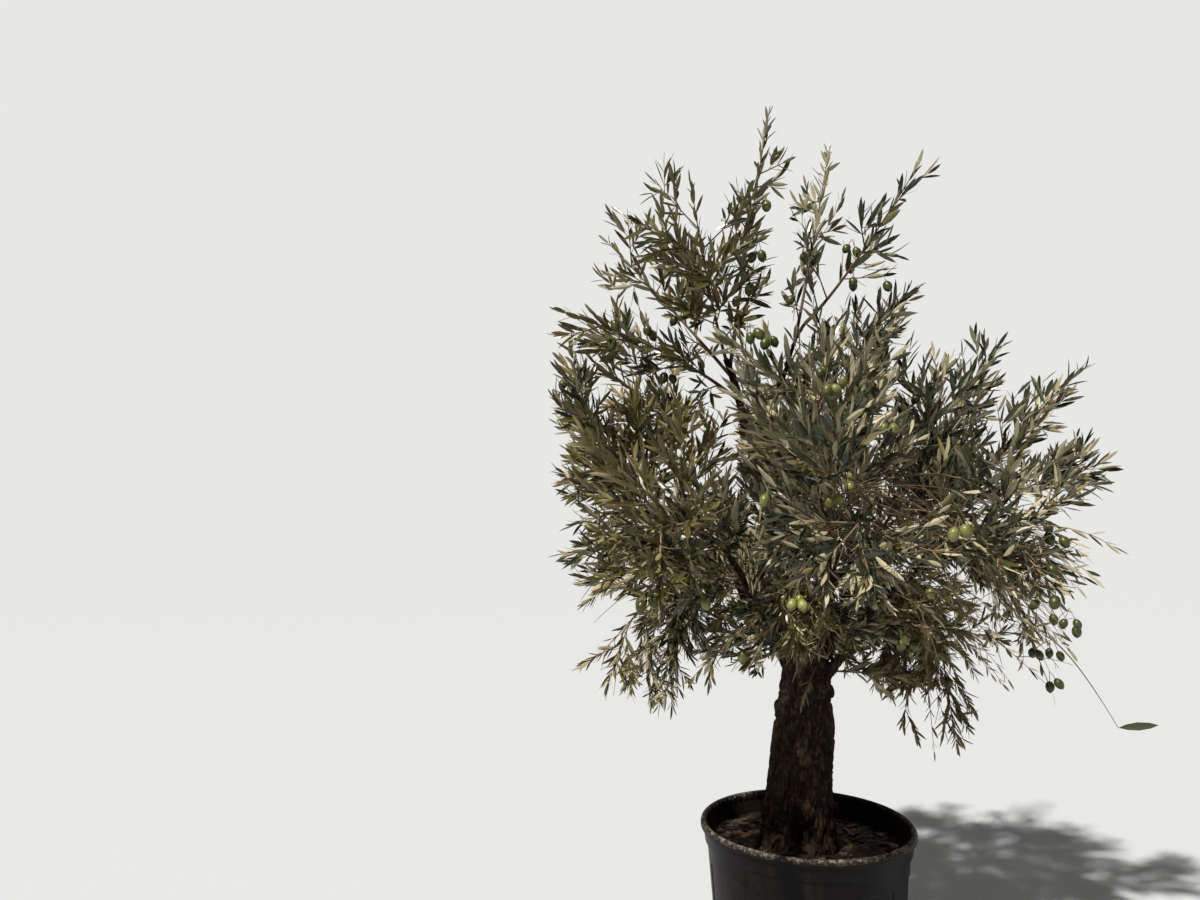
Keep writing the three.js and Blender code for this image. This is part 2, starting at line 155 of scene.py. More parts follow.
# Masses of foliage: name, bough, share of its length, tip of the stem, reach, lift, sprays that
# the solid has, more sprays between them, share of places along a spray that bear a side shoot
MASSES = [
    ("foliage_left", "bough_left", 1, (-845, -20, 1867), 230, 0, 3, 10, 0.85),
    ("foliage_left_low", "bough_left", 0.55, (-688, -60, 1100), 230, 170, 3, 9, 0.85),
    ("foliage_front_left", "bough_front_left", 1, (-588, -640, 1520), 240, 60, 3, 9, 0.85),
    ("foliage_front", "bough_front", 1, (-48, -880, 1500), 250, 80, 3, 9, 0.8),
    ("foliage_front_right", "bough_front_right", 1, (525, -570, 1510), 205, 60, 3, 9, 0.85),
    ("foliage_right", "bough_right", 0.9, (1060, -40, 1661), 145, 30, 4, 7, 0.7),
    ("foliage_right_low", "bough_right", 0.5, (572, 80, 950), 220, 160, 3, 9, 0.85),
    ("foliage_back_right", "bough_back_right", 1, (652, 620, 1560), 240, 60, 3, 9, 0.85),
    ("foliage_back", "bough_back", 1, (32, 880, 1500), 250, 80, 3, 9, 0.85),
    ("foliage_back_left", "bough_back_left", 1, (-588, 640, 1560), 240, 60, 3, 9, 0.85),
    ("foliage_front_low", "bough_front", 0.55, (-330, -560, 1200), 170, 110, 3, 6, 0.7),
    ("foliage_back_low", "bough_back", 0.55, (112, 600, 1060), 210, 130, 3, 9, 0.85),
    ("foliage_centre", "bough_centre", 1, (162, -30, 2255), 170, 0, 3, 9, 0.8),
    ("foliage_upper_front", "bough_front", 0.85, (-68, -460, 2010), 230, 0, 3, 9, 0.8),
    ("foliage_upper_back", "bough_back", 0.85, (72, 500, 2040), 230, 0, 3, 9, 0.8),
    ("foliage_shoulder_left", "bough_left", 0.9, (-551, 190, 2220), 200, 0, 3, 9, 0.8),
    ("foliage_shoulder_right", "bough_right", 0.66, (470, -90, 2005), 175, 0, 3, 9, 0.8),
    ("foliage_shoulder_far", "bough_back_right", 0.9, (700, 170, 2040), 150, 40, 3, 8, 0.7),
    ("foliage_right_arm", "bough_right", 1, (930, 0, 2015), 110, 0, 4, 8, 0.55),
    ("foliage_right_droop", "bough_right", 0.78, (820, -60, 960), 140, 330, 4, 9, 0.55),
    ("foliage_far_left", "bough_leader", 0.84, (-825, -200, 2225), 115, 50, 4, 8, 0.55),
    ("foliage_upper_left", "bough_leader", 0.92, (-667, 330, 2615), 140, 0, 4, 8, 0.5),
    ("foliage_top_left", "bough_leader", 1, (-409, -330, 2590), 150, 0, 4, 10, 0.66),
    ("foliage_leader", "bough_leader", 0.96, (-91, 0, 3020), 100, -40, 5, 5, 0.3),
    ("foliage_top_middle", "bough_upper_right", 0.85, (204, 330, 3000), 110, 0, 4, 5, 0.25),
    ("foliage_top_right", "bough_upper_right", 1, (325, -280, 2675), 120, -60, 4, 6, 0.35),
    ("foliage_right_up", "bough_centre", 0.85, (375, 300, 2320), 110, 0, 4, 9, 0.65),
]
STEM_BEND = 0.4
STEM_AHEAD = 0.25
TIP_STEM_PULL = 0.45
SIDE_STEM_PULL = 0.15
GOLDEN_TURN = 2.39996
SPRAY_FIRST = 0.15
SPRAY_BASE = 80
SPRAY_TRIES = [(part, turn) for part in (1.2, 1, 0.8, 0.6) for turn in (0, 1.1, -1.1)]
SPRAY_AHEAD = 0.7
STEM_END = 90

# The space of a mass: room round limbs, how much nearer its own stem has to be, and how far it goes
LIMB_ROOM_SHARE = 1.25
LIMB_MARGIN = 6
SPACE_MARGIN = 0.03
SPACE_EDGE = 1.25
WIDE_EDGE = 3
# Steps in which a line is walked, and points that are looked at together
WALK = 16
BATCH = 4096

# Twigs: radius at the foot and at the tip, rings and sides
STEM_TWIG = (7, 1.2, 14, 6)
SPRAY_TWIG = (3.0, 0.8, 7, 5)
LEAFY_TWIG = (1.6, 0.8, 4, 3)
BARE_TWIG = (2.1, 0.8, 4, 3)
WHIP_TWIG = (2.3, 0.7, 12, 4)
ARCH_SIDE_TWIG = (1.4, 0.6, 5, 3)
LONE_TWIG = (2.6, 0.9, 18, 5)
TRUNK_TWIG = (2.0, 0.8, 8, 4)
LONG_STALK = (1.5, 0.8, 7, 4)
SHORT_STALK = (0.9, 1.2, 4, 4)
ARCH_RADIUS = 3.8
THIN_ARCH_RADII = (1.5, 2.4)
# How far a twig drifts aside, and what its sag does at its bend and at its tip
TWIG_DRIFT = 0.05
TWIG_FALL = (0.05, 0.28)

# How a spray hangs: more than 0 is down. Upright masses rise less near the top. Finer sprays
# stand between the solid's, and weaken towards the stem's tip
SAG_HANGING = 0.55
SAG_RISING = -0.9
SAG_TOP = -0.3
TOP_LEVEL = 2350
FINE_SPRAY_SPAN = (0.1, 0.86)
FINE_STEP = (0.1, 0.9)
FINE_VIGOUR = (0.72, 1.0)
FINE_FADE = 0.35
SOLID_SPRAY_SAG = 0.3

# Side shoots along a spray: gap, first place, span, and length, as a share of the spray's and
# what is added to it
SIDE_GAP = 43
SIDE_FIRST = 0.16
SIDE_SPAN = 0.78
SIDE_LENGTH = (0.42, 42)
SIDE_TRIES = (1, 0.6)
SIDE_STEP = (0.2, 0.8)
SIDE_TWIST = 0.2
SIDE_LEAN = (0.78, 0.12)
SIDE_SPREAD = (0.8, 1.2)
BARE_ABOVE = 0.1
BARE_BELOW = 0.42
BARE_LEVEL = 1650

# Sprays that leave the boughs themselves, and whips
SPROUTS = 17
SPROUT_REACHES = {"trunk": 0, "bough_upper_right": 0, "bough_leader": 0.5}
SPROUT_TURNS = (0, 1.1, -1.1, 2.2, -2.2)
SPROUT_LENGTHS = (140, 280)
SPROUT_RATE = 0.8
SPROUT_FIRST = 0.12
SPROUT_LAST = 0.97
SPROUT_AHEAD = 0.5
SPROUT_SAG = -0.1
WHIPS = 16
WHIP_SPAN = (0.05, 0.6)
WHIP_LENGTHS = (1.0, 1.6)
WHIP_BASE = 120
WHIP_SIDEWAYS = 0.5
WHIP_FALL = 0.3
WHIPPED = ("foliage_right_droop", "foliage_right_low", "foliage_front_right")
# How much the finer sprays of a mass turn up
UPTURNS = {
    "foliage_right": 0.7,
    "foliage_right_arm": 0.4,
    "foliage_shoulder_far": 0.4,
    "foliage_shoulder_right": 0.4,
}

# Leaves: length and gap in the upper crown, width as a share of length, how a low leaf is finer.
# A station is a share of the length and the share of the width that it has there
LEAF_LENGTH = 98
LEAF_GAP = 22
LEAF_WIDTH = 0.188
LEAF_WIDTHS = (0.85, 1.15)
LEAF_CURL = (0.07, 0.07)
LEAF_FOLD = (0.08, 0.3)
LEAF_STATIONS = ((0.2, 0.66), (0.48, 1.0), (0.78, 0.7))
LEAF_CORNERS = 2 + 4 * len(LEAF_STATIONS)
LEAF_HALF_THICKNESS = 0.35
LEAF_LENGTHS = (0.62, 1.14)
LEAF_LEAN = (0.54, 0.17)
LEAF_ROLL = 0.45
LEAF_LOST = 0.07
TIP_LEAF = 0.72
TIP_SHORTER = 0.35
TIP_SCATTER = 0.12
PAIR_TURN = 0.25
PAIR_SCATTER = 0.15
FINE_LEVELS = (1250, 1650)
FINE_SIZE = 0.72
SHORTENED = 0.62
LEAF_VIEW = 0.6
FULL_RATE = 0.65
OPEN_RATE = 0.5
# Leaves on each kind of shoot: bare share of its length, gap, length of a leaf
SPRAY_LEAVES = (0.26, LEAF_GAP + 2, LEAF_LENGTH)
SIDE_LEAVES = (0.14, LEAF_GAP, LEAF_LENGTH * 0.95)
STEM_LEAVES = (0.4, 25, LEAF_LENGTH)
OPEN_STEM_LEAVES = (0.4, 20, LEAF_LENGTH)
WHIP_LEAVES = (0.55, 34, LEAF_LENGTH * 0.8)
ARCH_LEAVES = (0.35, 34, LEAF_LENGTH * 0.85)
TRUNK_LEAVES = (0.45, 16, LEAF_LENGTH * 0.72)
# Where tints change: low on the right, where lighter dusty faces are dust and painted light, high
# on the left, and cooler by height and to the right
DUSTY_AND_LIT_CORNER = (150, 1400)
WARM_CORNER = (-200, 2300)
COOL_HEIGHT = (0.7, 1350, 500)
COOL_SIDE = (0.6, -350, 450)
COOL_LIMITS = (0.08, 0.92)
# Single leaves that differ from their spray, and the backs of those high up, painted darker as
# painted shade
DRY_SHARE = 0.01
STRAY_TINTS = 0.14
WARM_BACKS = 0.8
SHADED_BACKS = 0.6
SHADED_BACKS_LEVEL = 2250
# The most triangles in one piece of leaves
PIECE_LIMIT = 195000

# The eye of the photograph, and what no leaf may hide from it
EYE = (-702, -3140, 1565)
TRUNK_SHOWN = 1065
TRUNK_VIEW = (-10, 130, 60)
FRUIT_VIEW = (30, 20)
ARCH_VIEW = 11
ARCH_THINNING = 0.7

# Thin arching shoots on the front right: how many, between which places, and four that are set
ARCHING = 26
ARCH_RISE = (60, 230)
ARCH_SPREAD = 90
ARCH_SIDES = 5
ARCH_SIDE_SPAN = (0.15, 0.9)
ARCH_SIDE_REACH = (70, 40, 60)
ARCH_ROOTS = ((-160, -640, 1480), (300, -440, 1740))
ARCH_TIPS = ((160, -740, 1080), (650, -430, 1440))
ARCH_STEMS = (
    ((70, -450, 1640), (520, -560, 1800), (590, -450, 1270)),
    ((70, -520, 1600), (400, -600, 1480), (590, -560, 1190)),
    ((120, -520, 1610), (330, -620, 1570), (476, -600, 1240)),
    ((-20, -560, 1560), (250, -700, 1520), (330, -660, 1150)),
)
TRUNK_SHOOT = ((20, -92, 1050), (-20, -190, 1040), (-52, -205, 955))
LONE_SHOOT = ((795, -75, 1150), (760, -300, 1150), (790, -500, 945))
LONE_LEAF_AHEAD = (1.0, -0.2, 0.12)
LONE_LEAF_UP = (-0.2, -1.0, 0.35)

# Olives
OLIVE_RADIUS = 12
OLIVE_LENGTH = 16
OLIVE_SIZES = (1.12, 1.34)
OLIVE_GAP = 2.3 * OLIVE_RADIUS + 2
STALK = 16
STALK_REACH = 25
STALK_ASIDE = 24
STALK_MORE = 22
OLIVE_PINCH = 1.6
FRUIT_SPAN = (0.25, 0.9)
FRONT_EDGE = 900
SHOOT_SPOTS = 8
FRUIT_TRIES = 12
MORE_FRUIT = 46
# Shown clusters hang on shoots near the front, but on the arm, past this x, a little towards
# its back
ARM_SIDE = 700
FRONT_FIRST = 0.1
BACK_FIRST = -0.02
# Clusters that show from the front: x and z where the line of sight meets the tree's middle plane,
# and how many olives
FRUIT = [
    (-107, 2657, 1), (-137, 2493, 2), (-149, 2417, 1), (193, 2500, 3), (185, 2450, 1),
    (194, 2385, 2), (315, 2371, 1), (-207, 2313, 1), (-277, 2385, 1), (-173, 2192, 2),
    (-109, 2170, 2), (-5, 2320, 1), (-536, 2209, 2), (-419, 2252, 1), (-466, 2067, 2),
    (-677, 2163, 1), (-649, 2242, 1), (86, 2071, 2), (156, 2046, 1), (103, 1996, 2),
    (546, 1509, 2), (842, 1513, 1), (897, 1503, 2), (851, 1389, 2), (809, 1358, 1),
    (879, 1296, 1), (829, 1248, 1), (862, 1207, 1), (921, 1200, 2), (940, 1166, 1),
    (789, 1091, 2), (858, 1094, 1), (844, 986, 2), (120, 1621, 2), (-113, 1617, 1),
    (-17, 1261, 3), (-356, 1275, 1), (-199, 1081, 1), (440, 1292, 3),
]

# Camera
CAMERA_LENS = 27
CAMERA_SENSOR = 36
CAMERA_PITCH = 93.94


def unit(vectors):
    return vectors / np.maximum(np.linalg.norm(vectors, axis=-1, keepdims=True), 1e-9)


def least_axis(direction):
    x, y, z = np.abs(direction)
    if x <= y and x <= z:
        return np.array([1.0, 0, 0])
    return np.array([0, 1.0, 0]) if y <= z else np.array([0, 0, 1.0])


def turned(direction, angle, reference=None):
    """A direction square to another one, turned by an angle round it."""
    reference = least_axis(direction) if reference is None else reference
    side = unit(np.cross(direction, reference))
    other = unit(np.cross(direction, side))
    return side * math.cos(angle) + other * math.sin(angle)


def seeded(seed):
    """A row of seeded numbers from 0 to 1, the same as the source's."""
    state = seed

    def draw():
        nonlocal state
        state = (state * 1664525 + 1013904223) % 4294967296
        return state / 4294967296

    return draw


class Line:
    """The middle line of a limb, stem or twig: one bend, and in a bough a slight sway."""

    def __init__(self, start, bend, tip, phase=None):
        self.start, self.bend, self.tip = (np.array(p, float) for p in (start, bend, tip))
        self.phase = phase
        self.sway = 0 if phase is None else BOUGH_SWAY * np.linalg.norm(self.tip - self.start)

    def at(self, share):
        share = np.asarray(share, float)[..., None]
        rest = 1 - share
        point = self.start * rest**2 + self.bend * 2 * share * rest + self.tip * share**2
        if self.phase is not None:
            swing = self.sway * np.sin(np.pi * share)
            along_x = np.sin(SWAY_TURNS[0] * share + self.phase)
            along_y = np.cos(SWAY_TURNS[1] * share + SWAY_OFFSET * self.phase)
            point = point + swing * np.concatenate([along_x, along_y, 0 * share], -1)
        return point

    def ahead(self, share):
        share = np.asarray(share, float)
        return unit(self.at(np.minimum(share + 1e-4, 1)) - self.at(np.maximum(share - 1e-4, 0)))

    def length(self):
        points = self.at(np.linspace(0, 1, 60))
        return float(np.linalg.norm(np.diff(points, axis=0), axis=1).sum())


def trunk_radius(share, angle):
    radius = TRUNK_RADIUS - TRUNK_TAPER * share**TAPER_POWER
    radius += FLARE * math.exp(-share / FLARE_SPAN)
    radius += HEAD_SWELL * math.exp(-(((share - HEAD_PLACE) / HEAD_SPAN) ** 2))
    radius *= 1 - HEAD_ROUNDING * max(0, (share - ROUNDING_FROM) / ROUNDING_SPAN) ** 2
    for count, depth, start, wind in LUMPS:
        radius *= 1 + depth * math.sin(count * angle + start + wind * share)
    return radius


def bough_radius(thick, thin):
    return lambda share, angle: thin + (thick - thin) * (1 - share) ** BOUGH_TAPER_POWER


def limb_lines():
    """The middle line and the radius of the trunk and of each bough, by name."""
    limbs = {"trunk": (Line(TRUNK_FOOT, TRUNK_BEND, TRUNK_HEAD), trunk_radius)}
    for phase, (name, parent, share, bend, tip, (thick, thin)) in enumerate(BOUGHS):
        line, radius_at = limbs[parent]
        start = line.at(share)
        aim = unit((np.array(bend, float) - start) * (1, 1, 0))
        start = start + aim * BOUGH_SET_OUT * radius_at(share, 0)
        limbs[name] = (Line(start, bend, tip, phase), bough_radius(thick, thin))
    return limbs


LIMBS = limb_lines()


def stem_line(parent, share, tip, lift):
    """The stem of a mass goes on the way its bough points, then bends to the mass's tip."""
    line = LIMBS[parent][0]
    start, end = line.at(share), np.array(tip, float)
    ahead = start + line.ahead(share) * STEM_AHEAD * np.linalg.norm(end - start)
    bend = start + (end - start) * STEM_BEND
    bend = bend + (ahead - bend) * (TIP_STEM_PULL if share == 1 else SIDE_STEM_PULL)
    return Line(start, bend + (0, 0, lift), end)


STEMS = [stem_line(bough, share, tip, lift) for _, bough, share, tip, _, lift, _, _, _ in MASSES]
MASS_NAMES = [row[0] for row in MASSES]
REACHES = np.array([row[4] for row in MASSES], float)
RATES = np.array([row[8] for row in MASSES], float)
WALK_SHARES = np.linspace(0, 1, WALK + 1)
STEM_WALK = np.array([stem.at(WALK_SHARES) for stem in STEMS])
LIMB_WALK = np.array([line.at(WALK_SHARES) for line, _ in LIMBS.values()])
LIMB_ROOM = np.array(
    [
        [radius_at(share, 0) * LIMB_ROOM_SHARE + LIMB_MARGIN for share in WALK_SHARES]
        for _, radius_at in LIMBS.values()
    ]
)


def is_free(points, own, edge=SPACE_EDGE):
    """Which points are near their mass's stem, nearer than to others, and clear of limbs."""
    points = np.atleast_2d(points)
    own = np.broadcast_to(own, len(points))
    edge = np.broadcast_to(edge, len(points))
    free = np.zeros(len(points), bool)
    for low in range(0, len(points), BATCH):
        batch = slice(low, low + BATCH)
        part = points[batch]
        rows = np.arange(len(part))
        near = np.linalg.norm(part[:, None, None] - STEM_WALK, axis=-1).min(-1) / REACHES
        mine = near[rows, own[batch]].copy()
        near[rows, own[batch]] = np.inf
        apart = np.linalg.norm(part[:, None, None] - LIMB_WALK, axis=-1)
        best = apart.argmin(-1)
        room = LIMB_ROOM[np.arange(len(LIMB_ROOM)), best]
        is_clear = (np.take_along_axis(apart, best[..., None], -1)[..., 0] > room).all(-1)
        free[batch] = (mine <= edge[batch]) & (near.min(-1) > mine + SPACE_MARGIN) & is_clear
    return free


def in_box(points, margin):
    """Which points lie inside the box of the solids, by at least a margin."""
    low, high = (np.array(corner) / MM for corner in cad_box)
    return ((points > low + margin) & (points < high - margin)).all(-1)


def from_eye(points, target):
    """The line of sight to a target, how far along it points lie, and how far aside of it."""
    sight = unit(target - np.array(EYE, float))
    along = (points - EYE) @ sight
    return sight, along, np.linalg.norm(points - EYE - along[:, None] * sight, axis=1)


# Meshes from arrays, and materials


def joined_mesh(name, points, triangles, slots, materials, smooth=False):
    """One object from rows of points and triangles, with a material slot for each triangle."""
    mesh = bpy.data.meshes.new(name)
    mesh.vertices.add(len(points))
    mesh.vertices.foreach_set("co", (np.asarray(points, float) * MM).astype(np.float32).ravel())
    mesh.loops.add(len(triangles) * 3)
    mesh.loops.foreach_set("vertex_index", np.asarray(triangles, np.int32).ravel())
    mesh.polygons.add(len(triangles))
    mesh.polygons.foreach_set("loop_start", np.arange(0, len(triangles) * 3, 3, dtype=np.int32))
    for material in materials:
        mesh.materials.append(material)
    mesh.polygons.foreach_set("material_index", np.asarray(slots, np.int32))
    mesh.polygons.foreach_set("use_smooth", np.full(len(triangles), smooth))
    mesh.update(calc_edges=True)
    mesh.validate()
    piece = bpy.data.objects.new(name, mesh)
    bpy.context.scene.collection.objects.link(piece)
    return piece


def dressed(piece, slot, *nodes):
    """Puts a finished piece on the tree's one body, in place of its solids."""
    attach(piece, "root")
    if nodes:
        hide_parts(*nodes)
    return piece


def plain(name, colour, roughness):
    material = bpy.data.materials.new(name)
    material.use_nodes = True
    shader = material.node_tree.nodes["Principled BSDF"]
    shader.inputs["Base Color"].default_value = (*colour, 1)
    shader.inputs["Roughness"].default_value = roughness
    return material


def tone(red, green, blue):
    """A colour as the eye reads it, from 0 to 255, as the numbers that light works with."""
    return [
        value / 255 / 12.92 if value <= 10 else ((value / 255 + 0.055) / 1.055) ** 2.4
        for value in (red, green, blue)
    ]


def plain_set(kind, *rows):
    """Plain materials of one kind, each from its name, its tone and its roughness."""
    return [plain(f"{kind}_{name}", tone(*colour), roughness) for name, colour, roughness in rows]


LEAF_TOPS = plain_set(
    "leaf_face",
    ("grey_green", (62, 65, 44), 0.29),
    ("olive", (78, 74, 37), 0.31),
    ("dark", (38, 41, 24), 0.26),
    ("blue_green", (51, 58, 43), 0.25),
    ("young", (98, 92, 52), 0.33),
    ("dusty", (104, 96, 58), 0.46),
)
LEAF_BACKS = plain_set(
    "leaf_back",
    ("silver", (154, 146, 118), 0.5),
    ("pale", (174, 164, 134), 0.5),
    ("grey_green", (112, 105, 74), 0.55),
    ("warm", (129, 115, 76), 0.58),
)
LEAF_DRY = plain_set("leaf", ("dry", (124, 95, 56), 0.75))
LEAF_FINISHES = [*LEAF_TOPS, *LEAF_BACKS, *LEAF_DRY]
GREY_GREEN, DUSTY = 0, 5
WARM_TINTS = (1, 4, 5)
SHADED_BACK, WARM_BACK = 2, 3
# Which leaf faces a spray draws from, high and on the right, low and left, and low on the right,
# where the lighter dusty faces are dust and painted light
HIGH_TINTS = (0, 0, 2, 3, 3)
LOW_TINTS = (0, 1, 1, 2, 1, 2, 5)
DUSTY_AND_LIT_TINTS = (1, 4, 5, 5, 0)
TWIG_TONES = plain_set(
    "twig",
    ("grey_brown", (108, 90, 68), 0.8),
    ("brown", (84, 65, 46), 0.8),
    ("pale", (138, 119, 92), 0.8),
    ("young", (112, 106, 74), 0.7),
)
BROWN_TWIG, YOUNG_TWIG = 1, 3
WOODY_TWIGS = 3


class Nodes:
    """Short ways of adding nodes to one tree and joining them."""

    def __init__(self, tree):
        self.tree = tree

    def feed(self, socket, value):
        """Joins another node's output to a socket, or sets a plain number or colour on it."""
        if isinstance(value, bpy.types.NodeSocket):
            self.tree.links.new(value, socket)
        elif socket.type == "RGBA" and len(value) == 3:
            socket.default_value = (*value, 1)
        else:
            socket.default_value = value

    def add(self, kind, values=None, **settings):
        node = self.tree.nodes.new(kind)
        for key, value in settings.items():
            setattr(node, key, value)
        for key, value in (values or {}).items():
            self.feed(node.inputs[key], value)
        return node

    def ramp(self, factor, *stops):
        node = self.add("ShaderNodeValToRGB", {"Fac": factor})
        elements = node.color_ramp.elements
        while len(elements) < len(stops):
            elements.new(0.5)
        for element, (place, colour) in zip(elements, stops):
            element.position = place
            element.color = (*colour, 1)
        return node.outputs["Color"]

    def toned(self, factor, *stops):
        """A ramp whose stops are each a place and a tone."""
        return self.ramp(factor, *((place, tone(*colour)) for place, *colour in stops))

    def fade(self, factor, low, high, first=0, last=1):
        """A mask that goes from one value to another between two levels."""
        return self.ramp(factor, (low, [first] * 3), (high, [last] * 3))

    def mix(self, factor, first, second, blend="MIX"):
        values = {0: factor, 6: first, 7: second}
        return self.add("ShaderNodeMix", values, data_type="RGBA", blend_type=blend).outputs[2]

    def maths(self, operation, *values):
        return self.add("ShaderNodeMath", dict(enumerate(values)), operation=operation).outputs[0]

    def laid(self, colour, over, mask, strength):
        """A colour laid over another where a mask shows."""
        return self.mix(self.maths("MULTIPLY", mask, strength), over, colour)

    def noise(self, place, scale, detail=4, roughness=0.6, distortion=0.0):
        values = {"Vector": place, "Scale": scale, "Detail": detail, "Roughness": roughness}
        return self.add("ShaderNodeTexNoise", {**values, "Distortion": distortion}).outputs["Fac"]

    def drawn(self, place, across, along):
        """A place whose pattern is drawn out, or squeezed, along the piece's height."""
        values = {"Vector": place, "Scale": (across, across, along)}
        return self.add("ShaderNodeMapping", values).outputs[0]

    def height(self, place):
        return self.add("ShaderNodeSeparateXYZ", {0: place}).outputs["Z"]


def patterned(name):
    """A new material with its nodes, its shader and its place on the object."""
    material = bpy.data.materials.new(name)
    material.use_nodes = True
    nodes = Nodes(material.node_tree)
    shader = material.node_tree.nodes["Principled BSDF"]
    place = nodes.add("ShaderNodeTexCoord").outputs["Object"]
    return material, nodes, shader, place


def finished(nodes, shader, colour, roughness, specular=None):
    nodes.feed(shader.inputs["Base Color"], colour)
    nodes.feed(shader.inputs["Roughness"], roughness)
    if specular is not None:
        shader.inputs["Specular IOR Level"].default_value = specular


def roughened(nodes, shader, height, strength, distance):
    """Bumps finer than the mesh, from a pattern's height."""
    values = {"Height": height, "Strength": strength, "Distance": distance}
    nodes.feed(shader.inputs["Normal"], nodes.add("ShaderNodeBump", values).outputs[0])


def dust_group():
    """Dust that lies on faces turned up and clings in specks elsewhere: a mask from 0 to 1."""
    group = bpy.data.node_groups.new("settled_dust", "ShaderNodeTree")
    for name, value in (("Scale", 30.0), ("Settled", 0.6), ("Clinging", 0.3)):
        socket = group.interface.new_socket(name, in_out="INPUT", socket_type="NodeSocketFloat")
        socket.default_value = value
    group.interface.new_socket("Vector", in_out="INPUT", socket_type="NodeSocketVector")
    group.interface.new_socket("Mask", in_out="OUTPUT", socket_type="NodeSocketFloat")
    nodes = Nodes(group)
    given = nodes.add("NodeGroupInput").outputs
    out = nodes.add("NodeGroupOutput")
    up = nodes.height(nodes.add("ShaderNodeNewGeometry").outputs["Normal"])
    lying = nodes.maths("MULTIPLY", nodes.maths("MAXIMUM", up, 0.0), given["Settled"])
    cloud = nodes.noise(given["Vector"], given["Scale"], 6, 0.7)
    specks = nodes.maths("MULTIPLY", nodes.maths("SUBTRACT", cloud, 0.45), 3.0)
    clinging = nodes.maths("MULTIPLY", nodes.maths("MAXIMUM", specks, 0.0), given["Clinging"])
    broken = nodes.maths("MULTIPLY", lying, nodes.maths("ADD", cloud, 0.35))
    mask = nodes.add("ShaderNodeClamp", {"Value": nodes.maths("ADD", broken, clinging)}).outputs[0]
    nodes.feed(out.inputs["Mask"], mask)
    return group


DUST = dust_group()


def dust(nodes, place, scale, settled, clinging):
    values = {"Vector": place, "Scale": scale, "Settled": settled, "Clinging": clinging}
    return nodes.add("ShaderNodeGroup", values, node_tree=DUST).outputs["Mask"]


def bark_material():
    """Flaked brown bark with redder patches, a little lichen, and painted shade darkening the
    furrows.
    """
    material, nodes, shader, place = patterned("olive_bark")
    relief = nodes.add("ShaderNodeAttribute", attribute_name="relief").outputs["Fac"]
    long_grain = nodes.drawn(place, 1.0, 0.32)
    flakes = nodes.noise(long_grain, 85.0, 8, 0.68, 0.6)
    patches = nodes.fade(nodes.noise(long_grain, 9.0, 3, 0.55, 0.4), 0.5, 0.62)
    lichen = nodes.fade(nodes.noise(place, 24.0, 5, 0.7), 0.58, 0.7)
    body = nodes.toned(flakes, (0.38, 10, 6, 5), (0.5, 32, 22, 16), (0.62, 80, 60, 45))
    red = nodes.toned(flakes, (0.38, 14, 8, 6), (0.5, 42, 24, 17), (0.62, 82, 51, 35))
    colour = nodes.laid(red, body, patches, 0.75)
    colour = nodes.laid(tone(84, 77, 60), colour, lichen, 0.3)
    # Painted shade: the bark is darkened towards black in its furrows, by how low its relief lies
    # there.
    stops = ((0.2, (0.05, 0.04, 0.03)), (0.5, (0.5, 0.48, 0.46)), (0.78, (1, 1, 1)))
    depth = nodes.ramp(relief, *stops)
    colour = nodes.mix(0.85, colour, depth, "MULTIPLY")
    colour = nodes.mix(dust(nodes, place, 40.0, 0.25, 0.1), colour, tone(104, 88, 68))
    rough = nodes.maths("ADD", nodes.maths("MULTIPLY", flakes, 0.2), 0.75)
    finished(nodes, shader, colour, rough, 0.2)
    fine = nodes.noise(long_grain, 190.0, 6, 0.7)
    height = nodes.maths("ADD", flakes, nodes.maths("MULTIPLY", fine, 0.5))
    roughened(nodes, shader, height, 0.9, 0.004)
    return material


def pot_material():
    """Black moulded plastic, dusty, with streaks down it, scratches round it, and pale specks along
    the lip that are wear and a painted highlight.
    """
    material, nodes, shader, place = patterned("nursery_pot_plastic")
    cloud = nodes.noise(place, 7.0, 5, 0.6)
    streaks = nodes.fade(nodes.noise(nodes.drawn(place, 1.0, 0.12), 26.0, 6, 0.65), 0.52, 0.75)
    scratches = nodes.fade(nodes.noise(nodes.drawn(place, 1.0, 9.0), 14.0, 8, 0.75), 0.62, 0.66)
    share_up = nodes.maths("DIVIDE", nodes.height(place), POT_HEIGHT * MM)
    # Pale specks along the top of the lip: wear, and a painted highlight on its edge.
    specks = nodes.fade(nodes.noise(place, 90.0, 4, 0.7), 0.5, 0.58)
    lip_wear_and_highlight = nodes.maths("MULTIPLY", nodes.fade(share_up, 0.965, 0.995), specks)
    dusty = dust(nodes, place, 55.0, 0.5, 0.05)
    body = nodes.toned(cloud, (0.3, 9, 7, 7), (0.7, 16, 12, 12))
    colour = nodes.mix(dusty, body, tone(92, 82, 72))
    colour = nodes.laid(tone(66, 56, 50), colour, streaks, 0.16)
    colour = nodes.laid(tone(60, 55, 52), colour, scratches, 0.16)
    colour = nodes.laid(tone(138, 130, 122), colour, lip_wear_and_highlight, 0.7)
    rough = nodes.maths("ADD", 0.42, nodes.maths("MULTIPLY", dusty, 0.35))
    finished(nodes, shader, colour, rough, 0.11)
    grain = nodes.maths("MULTIPLY", nodes.noise(place, 420.0, 3, 0.6), 0.4)
    roughened(nodes, shader, nodes.maths("ADD", grain, cloud), 0.25, 0.002)
    return material


def soil_material():
    material, nodes, shader, place = patterned("potting_soil")
    crumbs = nodes.noise(place, 60.0, 8, 0.7)
    damp = nodes.noise(place, 8.0, 3, 0.5)
    body = nodes.toned(crumbs, (0.3, 22, 16, 12), (0.55, 48, 36, 27), (0.75, 84, 66, 50))
    finished(nodes, shader, nodes.laid(tone(44, 35, 27), body, damp, 0.5), 0.95, 0.2)
    roughened(nodes, shader, crumbs, 1.0, 0.006)
    return material


# The crown's heart, towards which olive skin is painted lighter as painted light.
CROWN_HEART = (-0.05, -0.5, 1.45)


